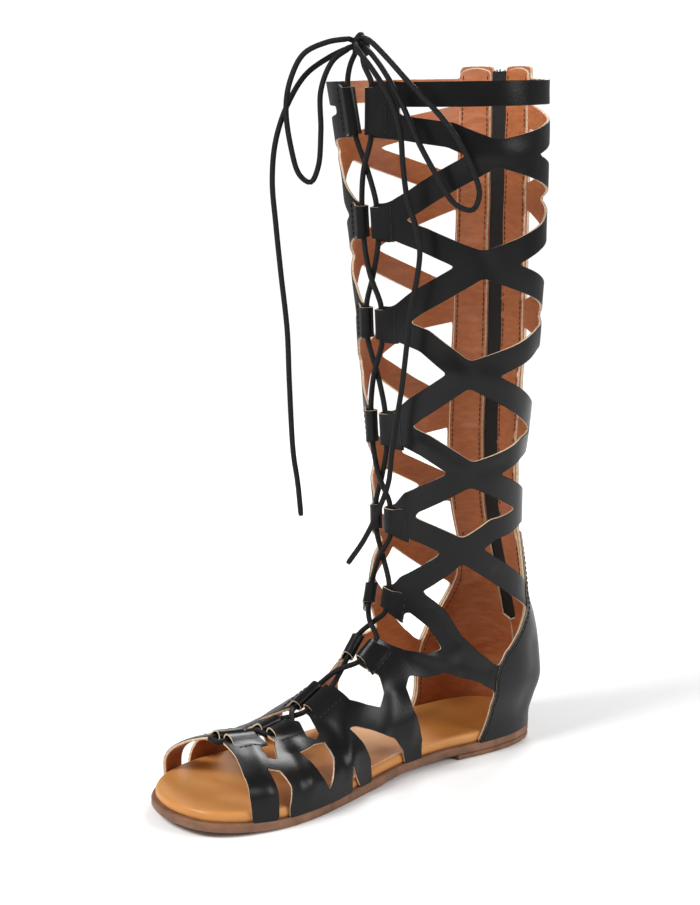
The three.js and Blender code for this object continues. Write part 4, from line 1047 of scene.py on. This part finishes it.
# ----------------------------------------------------------------- stitches
# Lock stitches 2.2 mm long at a 3 mm pitch: black thread on the tabs and
# straps, brown along the facings and the counter's lining.
def repeat_along_tree():
    """A tree that sets an element at an even pitch along lines."""
    group = bpy.data.node_groups.new("repeat_along_lines", "GeometryNodeTree")
    face = group.interface
    face.new_socket("Lines", in_out="INPUT", socket_type="NodeSocketGeometry")
    face.new_socket("Element", in_out="INPUT", socket_type="NodeSocketObject")
    face.new_socket("Pitch", in_out="INPUT", socket_type="NodeSocketFloat")
    face.new_socket("Material", in_out="INPUT", socket_type="NodeSocketMaterial")
    face.new_socket("Pieces", in_out="OUTPUT", socket_type="NodeSocketGeometry")
    given = add_node(group, "NodeGroupInput").outputs
    spaced = add_node(group, "GeometryNodeCurveToPoints", {
        "Curve": given["Lines"], "Length": given["Pitch"]}, mode="LENGTH")
    element = add_node(group, "GeometryNodeObjectInfo", {"Object": given["Element"]})
    along = add_node(group, "FunctionNodeAlignRotationToVector", {
        "Vector": spaced.outputs["Tangent"]}, axis="Z")
    level = add_node(group, "FunctionNodeAlignRotationToVector", {
        "Rotation": along.outputs[0], "Vector": (0, 1, 0)}, axis="X", pivot_axis="Z")
    pieces = add_node(group, "GeometryNodeInstanceOnPoints", {
        "Points": spaced.outputs["Points"], "Instance": element.outputs["Geometry"],
        "Rotation": level.outputs[0]})
    real = add_node(group, "GeometryNodeRealizeInstances", {
        "Geometry": pieces.outputs[0]})
    dressed = add_node(group, "GeometryNodeSetMaterial", {
        "Geometry": real.outputs[0], "Material": given["Material"]})
    add_node(group, "NodeGroupOutput", {"Pieces": dressed.outputs[0]})
    return group


repeat_along = repeat_along_tree()


def repeated(name, lines, element, pitch, material, body="sandal"):
    """A plain mesh of an element repeated along lines given in millimetres."""
    data = bpy.data.curves.new(name + "_lines", "CURVE")
    data.dimensions = "3D"
    for line in lines:
        spline = data.splines.new("POLY")
        spline.points.add(len(line) - 1)
        flat = np.column_stack([np.asarray(line) * MM, np.ones(len(line))])
        spline.points.foreach_set("co", flat.ravel())
    guide = bpy.data.objects.new(name + "_lines", data)
    bpy.context.collection.objects.link(guide)
    modifier = guide.modifiers.new("repeat", "NODES")
    modifier.node_group = repeat_along
    sockets = {s.name: s.identifier for s in repeat_along.interface.items_tree
               if s.in_out == "INPUT"}
    modifier[sockets["Element"]] = element
    modifier[sockets["Pitch"]] = pitch * MM
    modifier[sockets["Material"]] = material
    bpy.context.view_layer.update()
    seen = guide.evaluated_get(bpy.context.evaluated_depsgraph_get())
    mesh = bpy.data.meshes.new_from_object(seen)
    mesh.name = name
    made = bpy.data.objects.new(name, mesh)
    bpy.context.collection.objects.link(made)
    bpy.data.objects.remove(guide)
    mesh.shade_smooth()
    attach(made, body)
    return made


def capsule(name, length, radius, flat=1.0, sides=6, along="Z"):
    """A rounded bar in metres that the trees repeat, kept out of the render."""
    rings = [(-0.5, 0.25), (-0.38, 0.8), (-0.15, 1), (0.15, 1), (0.38, 0.8), (0.5, 0.25)]
    vertices, faces = [], []
    for t, swell in rings:
        for k in range(sides):
            a = 2 * math.pi * k / sides
            p = (radius * swell * math.cos(a), radius * swell * flat * math.sin(a), t * length)
            vertices.append(p if along == "Z" else (p[2], p[1], p[0]))
    for r in range(len(rings) - 1):
        for k in range(sides):
            j = (k + 1) % sides
            a, b = r * sides + k, r * sides + j
            faces.append((a, b, b + sides, a + sides))
    faces.append(tuple(reversed(range(sides))))
    faces.append(tuple(range(len(vertices) - sides, len(vertices))))
    if along != "Z":
        faces = [tuple(reversed(f)) for f in faces]
    mesh = bpy.data.meshes.new(name)
    mesh.from_pydata((np.array(vertices) * MM).tolist(), [], faces)
    made = bpy.data.objects.new(name, mesh)
    bpy.context.collection.objects.link(made)
    made.hide_render = True
    made.hide_viewport = True
    return made


def thread_material(name, dark, light):
    """Spun polyester thread: two tones twisted together, a soft sheen."""
    material, tree = new_material(name)
    place = add_node(tree, "ShaderNodeTexCoord").outputs["Object"]
    twist = add_node(tree, "ShaderNodeTexNoise", {"Vector": place, "Scale": 2500.0})
    tone = add_node(tree, "ShaderNodeValToRGB", {"Fac": twist.outputs["Fac"]})
    tone.color_ramp.elements[0].color = linear(dark)
    tone.color_ramp.elements[1].color = linear(light)
    ply = add_node(tree, "ShaderNodeBump", {
        "Height": twist.outputs["Fac"], "Strength": 0.3, "Distance": 0.0002})
    finish_material(tree, add_node(tree, "ShaderNodeBsdfPrincipled", {
        "Base Color": tone.outputs["Color"], "Roughness": 0.6, "Normal": ply.outputs[0]}))
    return material


black_thread = thread_material("black_sewing_thread", "#060606", "#151515")
brown_thread = thread_material("brown_sewing_thread", "#3A1C0E", "#5C3018")


def raised(row, place, height):
    """Points on the waved leather, a height off it."""
    row, place = np.broadcast_arrays(np.asarray(row, float), np.asarray(place, float))
    points, out = form_point(row, place), form_out(row, place)
    return points + out * (relief(points) + height)[:, None]


def above_sole(line):
    """The part of a line of stitches that stands clear of the sole."""
    return line[line[:, 2] > profile(SOLE_TOP, line[:, 0]) + 1.6]


tab_lines = []
for start, end, reach in TABS:
    for side in (1, -1):
        rows = np.linspace(start + 0.12 * (end - start), end - 0.12 * (end - start), 12)
        turn = (throat_arc(rows) + 11.6) / half_length(rows, side)
        tab_lines.append(raised(rows, place_of(turn, side), WALL / 2 + 0.12))
        turn = (throat_arc(rows) + 7.6) / half_length(rows, side)
        tab_lines.append(raised(rows, place_of(turn, side), -WALL / 2 - 1.25))
for side in (1, -1):
    turns = np.linspace(0.27, 0.37, 9)
    tab_lines.append(raised(12.78 - (turns - 0.27) * 1.2, place_of(turns, side), WALL / 2 + 0.12))
    tab_lines.append(raised(12.78 - (turns - 0.27) * 1.2, place_of(turns, side), -WALL / 2 - 0.12))
stitch = capsule("stitch", 2.3, 0.33)
STITCH_PITCH = 2.9
repeated("black_stitches", tab_lines, stitch, STITCH_PITCH, black_thread)

brown_lines = []
rows = np.linspace(FACING_FOOT_ROW + 1.9, FACING_TOP_ROW - 0.25, 240)
for side in (1, -1):
    for arc in (FACING_NEAR + 2.6, FACING_FAR - 2.8):
        turn = 1 - arc / half_length(rows, side)
        brown_lines.append(raised(rows, place_of(turn, side), -1.95))
counter_path = np.array(COUNTER[1:-1])
knots = np.arange(len(counter_path))
t = np.linspace(0.25, len(counter_path) - 1.6, 160)
edge_row = np.interp(t, knots, counter_path[:, 0])
edge_turn = np.interp(t, knots, counter_path[:, 1])
for side in (1, -1):
    turn = edge_turn + 3.6 / half_length(edge_row, side)
    brown_lines.append(above_sole(raised(edge_row, place_of(turn, side), -1.95)))
repeated("brown_stitches", brown_lines, stitch, STITCH_PITCH, brown_thread)
outer_lines = []
for side in (1, -1):
    turn = edge_turn + 2.4 / half_length(edge_row, side)
    outer_lines.append(above_sole(raised(edge_row, place_of(turn, side), 1.88)))
repeated("counter_stitches", outer_lines, stitch, STITCH_PITCH, black_thread)


# ----------------------------------------------------------------------- zip
# A woven black tape with a nylon coil sewn on its outer face, closed by a
# black enamelled slider near the top. The tape's upper end is cut ragged.
TAPE_HALF = 6.2


def band_mesh(name, rows, arcs, inner, outer, material, ragged=0.0):
    """A strip of the form along the back line, with real-size UVs."""
    vertices, uv = [], []
    walked = 0.0
    for r, row in enumerate(rows):
        for c, arc in enumerate(arcs):
            side = 1 if arc >= 0 else -1
            place = place_of(1 - abs(arc) / half_length(row, side), side)
            p = form_point(row, place)
            n = form_out(row, 1.0)
            p = p + n * relief(p[None])[0]
            if r == len(rows) - 1:
                p = p + np.array([0, 0, ragged * math.sin(c * 2.4) * (1 + 0.6 * math.sin(c * 5.3))])
            vertices += [p + n * outer, p + n * inner]
            uv += [(arc, walked), (arc, walked)]
        if r + 1 < len(rows):
            walked += np.linalg.norm(form_point(rows[r + 1], 1.0) - form_point(row, 1.0))
    width = len(arcs)
    index = lambda r, c, k: 2 * (r * width + c) + k
    faces = []
    for r in range(len(rows) - 1):
        for c in range(width - 1):
            faces.append((index(r, c, 0), index(r + 1, c, 0),
                          index(r + 1, c + 1, 0), index(r, c + 1, 0)))
            faces.append((index(r, c, 1), index(r, c + 1, 1),
                          index(r + 1, c + 1, 1), index(r + 1, c, 1)))
        for c in (0, width - 1):
            faces.append((index(r, c, 0), index(r, c, 1), index(r + 1, c, 1), index(r + 1, c, 0)))
    for r in (0, len(rows) - 1):
        for c in range(width - 1):
            faces.append((index(r, c, 0), index(r, c + 1, 0), index(r, c + 1, 1), index(r, c, 1)))
    made = mesh_object(name, vertices, faces, [material], body=None, uv=uv)
    work = bmesh.new()
    work.from_mesh(made.data)
    bmesh.ops.recalc_face_normals(work, faces=work.faces)
    work.to_mesh(made.data)
    work.free()
    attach(made, "sandal")
    return made


# The weave's ribs are 0.7 mm apart, a little coarser than real, to show.
tape_weave, tree = new_material("black_woven_tape")
spread = add_node(tree, "ShaderNodeUVMap", uv_map="UVMap").outputs[0]
ribs = add_node(tree, "ShaderNodeTexWave", {
    "Vector": spread, "Scale": 0.45, "Distortion": 0.4, "Detail": 1.0},
    bands_direction="X")
picks = add_node(tree, "ShaderNodeTexWave", {
    "Vector": spread, "Scale": 0.7, "Distortion": 0.4, "Detail": 1.0},
    bands_direction="Y")
weave = add_node(tree, "ShaderNodeMath", {0: ribs.outputs["Fac"], 1: picks.outputs["Fac"]},
                 operation="MULTIPLY")
tone = add_node(tree, "ShaderNodeValToRGB", {"Fac": weave.outputs[0]})
tone.color_ramp.elements[0].color = linear("#070707")
tone.color_ramp.elements[1].color = linear("#1D1D1D")
cloth = add_node(tree, "ShaderNodeBump", {
    "Height": weave.outputs[0], "Strength": 0.5, "Distance": 0.0004})
finish_material(tree, add_node(tree, "ShaderNodeBsdfPrincipled", {
    "Base Color": tone.outputs["Color"], "Roughness": 0.8, "Normal": cloth.outputs[0]}))

tape_rows = even_rows(ZIP_FOOT_ROW - 0.05, ZIP_TOP_ROW + 0.02, 2.5)
tape = band_mesh("zip_tape_woven", tape_rows, np.linspace(-TAPE_HALF, TAPE_HALF, 25),
                 -0.4, 0.4, tape_weave, ragged=1.1)
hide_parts("zip_tape")

nylon, tree = new_material("black_nylon_coil")
place = add_node(tree, "ShaderNodeTexCoord").outputs["Object"]
scuff = add_node(tree, "ShaderNodeTexNoise", {"Vector": place, "Scale": 900.0})
dull = add_node(tree, "ShaderNodeMapRange", {
    "Value": scuff.outputs["Fac"], "To Min": 0.3, "To Max": 0.45})
finish_material(tree, add_node(tree, "ShaderNodeBsdfPrincipled", {
    "Base Color": linear("#0F0F10"), "Roughness": dull.outputs[0]}))

SLIDER_ROW = 20.55
coil_rows = np.linspace(ZIP_FOOT_ROW + 0.1, SLIDER_ROW - 0.1, 400)
coil_line = raised(coil_rows, np.ones(400), 1.0)
right_of = np.array([0, 0.95, 0])
tooth = capsule("coil_turn", 2.3, 0.42, along="X")
coil = repeated("zip_coil", [coil_line + right_of, coil_line - right_of + [0, 0, 0.6]],
                tooth, 1.2, nylon)
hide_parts("zip_teeth")

enamel, tree = new_material("black_enamelled_zinc")
place = add_node(tree, "ShaderNodeTexCoord").outputs["Object"]
wear = add_node(tree, "ShaderNodeTexNoise", {"Vector": place, "Scale": 500.0, "Detail": 4.0})
dull = add_node(tree, "ShaderNodeMapRange", {
    "Value": wear.outputs["Fac"], "To Min": 0.2, "To Max": 0.4})
peel = add_node(tree, "ShaderNodeBump", {
    "Height": wear.outputs["Fac"], "Strength": 0.1, "Distance": 0.0002})
finish_material(tree, add_node(tree, "ShaderNodeBsdfPrincipled", {
    "Base Color": linear("#121214"), "Roughness": dull.outputs[0],
    "Coat Weight": 0.6, "Coat Roughness": 0.12, "Normal": peel.outputs[0]}))


def rounded_copy(node, name, radius, body):
    """A CAD part with its edges rounded, standing for it."""
    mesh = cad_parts[node].data.copy()
    made = bpy.data.objects.new(name, mesh)
    bpy.context.collection.objects.link(made)
    work = bmesh.new()
    work.from_mesh(mesh)
    bmesh.ops.remove_doubles(work, verts=work.verts, dist=1e-6)
    bmesh.ops.dissolve_limit(work, angle_limit=math.radians(4), verts=work.verts, edges=work.edges)
    work.to_mesh(mesh)
    work.free()
    mesh.materials.clear()
    mesh.materials.append(enamel)
    bevel = made.modifiers.new("edges", "BEVEL")
    bevel.width, bevel.segments, bevel.limit_method = radius * MM, 2, "ANGLE"
    bevel.angle_limit = math.radians(40)
    mesh.shade_smooth()
    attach(made, body)
    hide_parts(node)
    return made


rounded_copy("zip_slider", "slider_body", 0.5, "sandal")
rounded_copy("zip_pull", "pull_tab", 0.3, "pull")


# -------------------------------------------------------------------- laces
# One 3 mm round waxed cord: a braided cotton cover over a core, dressed with
# wax, so it is nearly matt with a fine diagonal rib. Both strands run through
# the tabs of alternate sides and cross between them.
LACE_RADIUS = 1.5
KNOT = np.array([77.0, 0, 403.0])
KNOT_RADIUS = 4.6

waxed_cord, tree = new_material("waxed_black_cord")
spread = add_node(tree, "ShaderNodeUVMap", uv_map="UVMap").outputs[0]
slanted = add_node(tree, "ShaderNodeMapping", {
    "Vector": spread, "Rotation": (0, 0, math.radians(38)), "Scale": (1, 1, 1)})
braid = add_node(tree, "ShaderNodeTexWave", {
    "Vector": slanted.outputs[0], "Scale": 0.38, "Distortion": 0.8, "Detail": 1.5,
    "Detail Scale": 2.0}, bands_direction="Y")
counter_slant = add_node(tree, "ShaderNodeMapping", {
    "Vector": spread, "Rotation": (0, 0, math.radians(-38))})
braid_back = add_node(tree, "ShaderNodeTexWave", {
    "Vector": counter_slant.outputs[0], "Scale": 0.38, "Distortion": 0.8},
    bands_direction="Y")
cover = add_node(tree, "ShaderNodeMath", {
    0: braid.outputs["Fac"], 1: braid_back.outputs["Fac"]}, operation="MULTIPLY")
tone = add_node(tree, "ShaderNodeValToRGB", {"Fac": cover.outputs[0]})
tone.color_ramp.elements[0].color = linear("#050505")
tone.color_ramp.elements[1].color = linear("#171717")
rib = add_node(tree, "ShaderNodeBump", {
    "Height": cover.outputs[0], "Strength": 0.55, "Distance": 0.0005})
finish_material(tree, add_node(tree, "ShaderNodeBsdfPrincipled", {
    "Base Color": tone.outputs["Color"], "Roughness": 0.55, "Specular IOR Level": 0.25,
    "Normal": rib.outputs[0]}))


def tube_parts(line, radius, sides, start=0):
    """Vertices, faces and UVs of a round cord along a line, with closed ends."""
    line = np.asarray(line, float)
    along = np.gradient(line, axis=0)
    along /= np.linalg.norm(along, axis=1)[:, None]
    across = np.cross(along[0], [0.3, 0.9, 0.2])
    across /= np.linalg.norm(across)
    vertices, faces, uv = [], [], []
    walked = 0.0
    for k, (p, d) in enumerate(zip(line, along)):
        across = across - d * (across @ d)
        across /= np.linalg.norm(across)
        third = np.cross(d, across)
        if k:
            walked += np.linalg.norm(p - line[k - 1])
        r = radius
        ends = min(k, len(line) - 1 - k)
        if ends == 0:
            r = radius * 0.82
        for i in range(sides + 1):
            a = 2 * math.pi * i / sides
            vertices.append(p + (across * math.cos(a) + third * math.sin(a)) * r)
            uv.append((radius * a, walked))
    ring = sides + 1
    for k in range(len(line) - 1):
        for i in range(sides):
            a = start + k * ring + i
            faces.append((a, a + 1, a + 1 + ring, a + ring))
    for k, flip in ((0, True), (len(line) - 1, False)):
        middle = start + len(vertices)
        vertices.append(line[k] + along[k] * (-0.25 if flip else 0.25))
        uv.append((0, 0))
        for i in range(sides):
            a, b = start + k * ring + i, start + k * ring + i + 1
            faces.append((b, a, middle) if flip else (a, b, middle))
    return vertices, faces, uv


def cord_mesh(name, lines, radius, sides=12):
    """One mesh of round cords along lines."""
    vertices, faces, uv = [], [], []
    for line in lines:
        more = tube_parts(line, radius, sides, len(vertices))
        vertices += more[0]
        faces += more[1]
        uv += more[2]
    made = mesh_object(name, vertices, faces, [waxed_cord], sharp=50, uv=uv)
    return made


def strand(first_side, above):
    """Where one strand runs, from the top tab down to the toe strap."""
    points = []
    for k, tab in enumerate(TABS):
        side = -first_side if k % 2 else first_side
        low, high, along = tunnel_ends(tab, side)
        past = 2.4 if tab[1] > 8 else 1.6
        points += [high + along * past, high + (low - high) * 0.15,
                   high + (low - high) * 0.85, low - along * past]
        if k + 1 < len(TABS):
            following = tunnel_ends(TABS[k + 1], -side)
            row = (tab[0] + TABS[k + 1][1]) / 2
            middle = (low + following[1]) / 2
            middle[1] *= 0.2
            points.append(middle + form_out(row, 0.0) * above)
    return points


toe = form_point(0.92, 0.0) + np.array([1.5, 0, -0.5])


def rise(points, side):
    """The strand's top end, up to the knot."""
    end = KNOT + np.array([1, side * 2.3, -KNOT_RADIUS + 1.0])
    half = points[0] + (end - points[0]) * 0.55 + np.array([1.5, 0, 0])
    return [end, half] + points


first = rise(strand(1, 1.9), 1) + [toe + [0, -3, 0], toe + [0, 2, 0]]
second = rise(strand(-1, -0.9), -1) + [toe + [0, 4.5, 0], toe + [0.9, 0, 0.7]]
laces = cord_mesh("laced_strands", [smooth_line(first, 1.6), smooth_line(second, 1.6)],
                  LACE_RADIUS)
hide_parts("lace")

BOW = {
    "bow_loop_front": [
        (83, -2.6, 405.5), (92, -9, 404), (103, -16, 398), (109, -20, 385),
        (111, -22, 370), (109, -21, 349), (105, -19, 334), (100, -16, 330),
        (97, -13, 338), (97, -10, 357), (98, -8, 379), (93, -4, 394),
        (83.6, -1, 400.8)],
    "lace_end_front": [
        (82.6, -4.6, 400.5), (89, -12, 396), (99, -20, 387), (108, -25, 371),
        (114, -28, 352), (116, -29, 331), (115, -28, 308), (113, -27, 281),
        (111, -25, 250), (111, -24, 222), (110, -23, 182), (108, -22, 164),
        (107, -21, 146)],
    "bow_loop_side": [
        (80, 5.4, 406), (84, 17, 404), (84, 31, 395), (79, 43, 382),
        (72, 54, 369), (65, 63, 355), (59, 69, 338), (56, 71, 325),
        (58, 68, 317), (64, 61, 320), (70, 54, 334), (76, 46, 352),
        (80, 38, 371), (82, 26, 388), (80, 12, 398), (78.6, 5.2, 401)],
    "lace_end_side": [
        (82.4, 3.4, 403), (89, 12, 400), (89, 24, 390), (84, 33, 374),
        (81, 37, 358), (80, 38, 340), (78, 39, 322), (75, 42, 308),
        (74, 44, 296), (74, 42, 282), (75, 37, 263), (75, 34, 245),
        (75, 29, 219), (75, 24, 200), (75, 20, 182), (75, 17, 166),
        (80, 15, 152), (90, 14, 136), (101, 13, 124)],
}
# The knot is two tight turns of the cord round the crossing.
knot_lines = []
for tilt, radius, shift, reach in ((0.3, 3.6, 0.0, 5.6), (-0.55, 3.3, 0.8, 5.4)):
    a = np.linspace(0, reach, 26)
    loop = np.stack([np.cos(a) * radius, np.sin(a) * radius * 0.95,
                     np.sin(a + 1.0) * 1.3 + tilt * np.cos(a) * 4], 1)
    knot_lines.append(KNOT + loop + [0, shift, 0.4 * shift])
    knot_lines.append(KNOT + loop * [0.9, 0.9, 0.8] + [0, -shift, -3.6])
a = np.linspace(-1.9, 1.9, 16)
knot_lines.append(KNOT + np.stack([3.9 * np.cos(a) - 0.4, 0.6 * np.sin(2 * a), 4.6 * np.sin(a)], 1))
knot_lines.append(KNOT + np.stack([np.linspace(-1, 1.2, 10), np.linspace(-3.4, 3.4, 10),
                                   1.2 * np.sin(np.linspace(0, 3.1, 10))], 1))
for route in BOW.values():
    for end, before in ((route[0], route[1]), (route[-1], route[-2])):
        end, before = np.array(end), np.array(before)
        if np.linalg.norm(end - KNOT) < 12:
            start = KNOT + 0.15 * (end - KNOT)
            towards = end + (before - end) / np.linalg.norm(before - end) * 1.2
            knot_lines.append(np.linspace(start, end, 8).tolist() + [towards.tolist()])
knot = cord_mesh("tied_knot", knot_lines, LACE_RADIUS)
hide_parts("bow_knot")

for node, route in BOW.items():
    line = smooth_line(route, 1.8)
    piece = cord_mesh(node + "_cord", [line], LACE_RADIUS)
    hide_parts(node)

for element in (stitch, tooth):
    bpy.data.objects.remove(element)
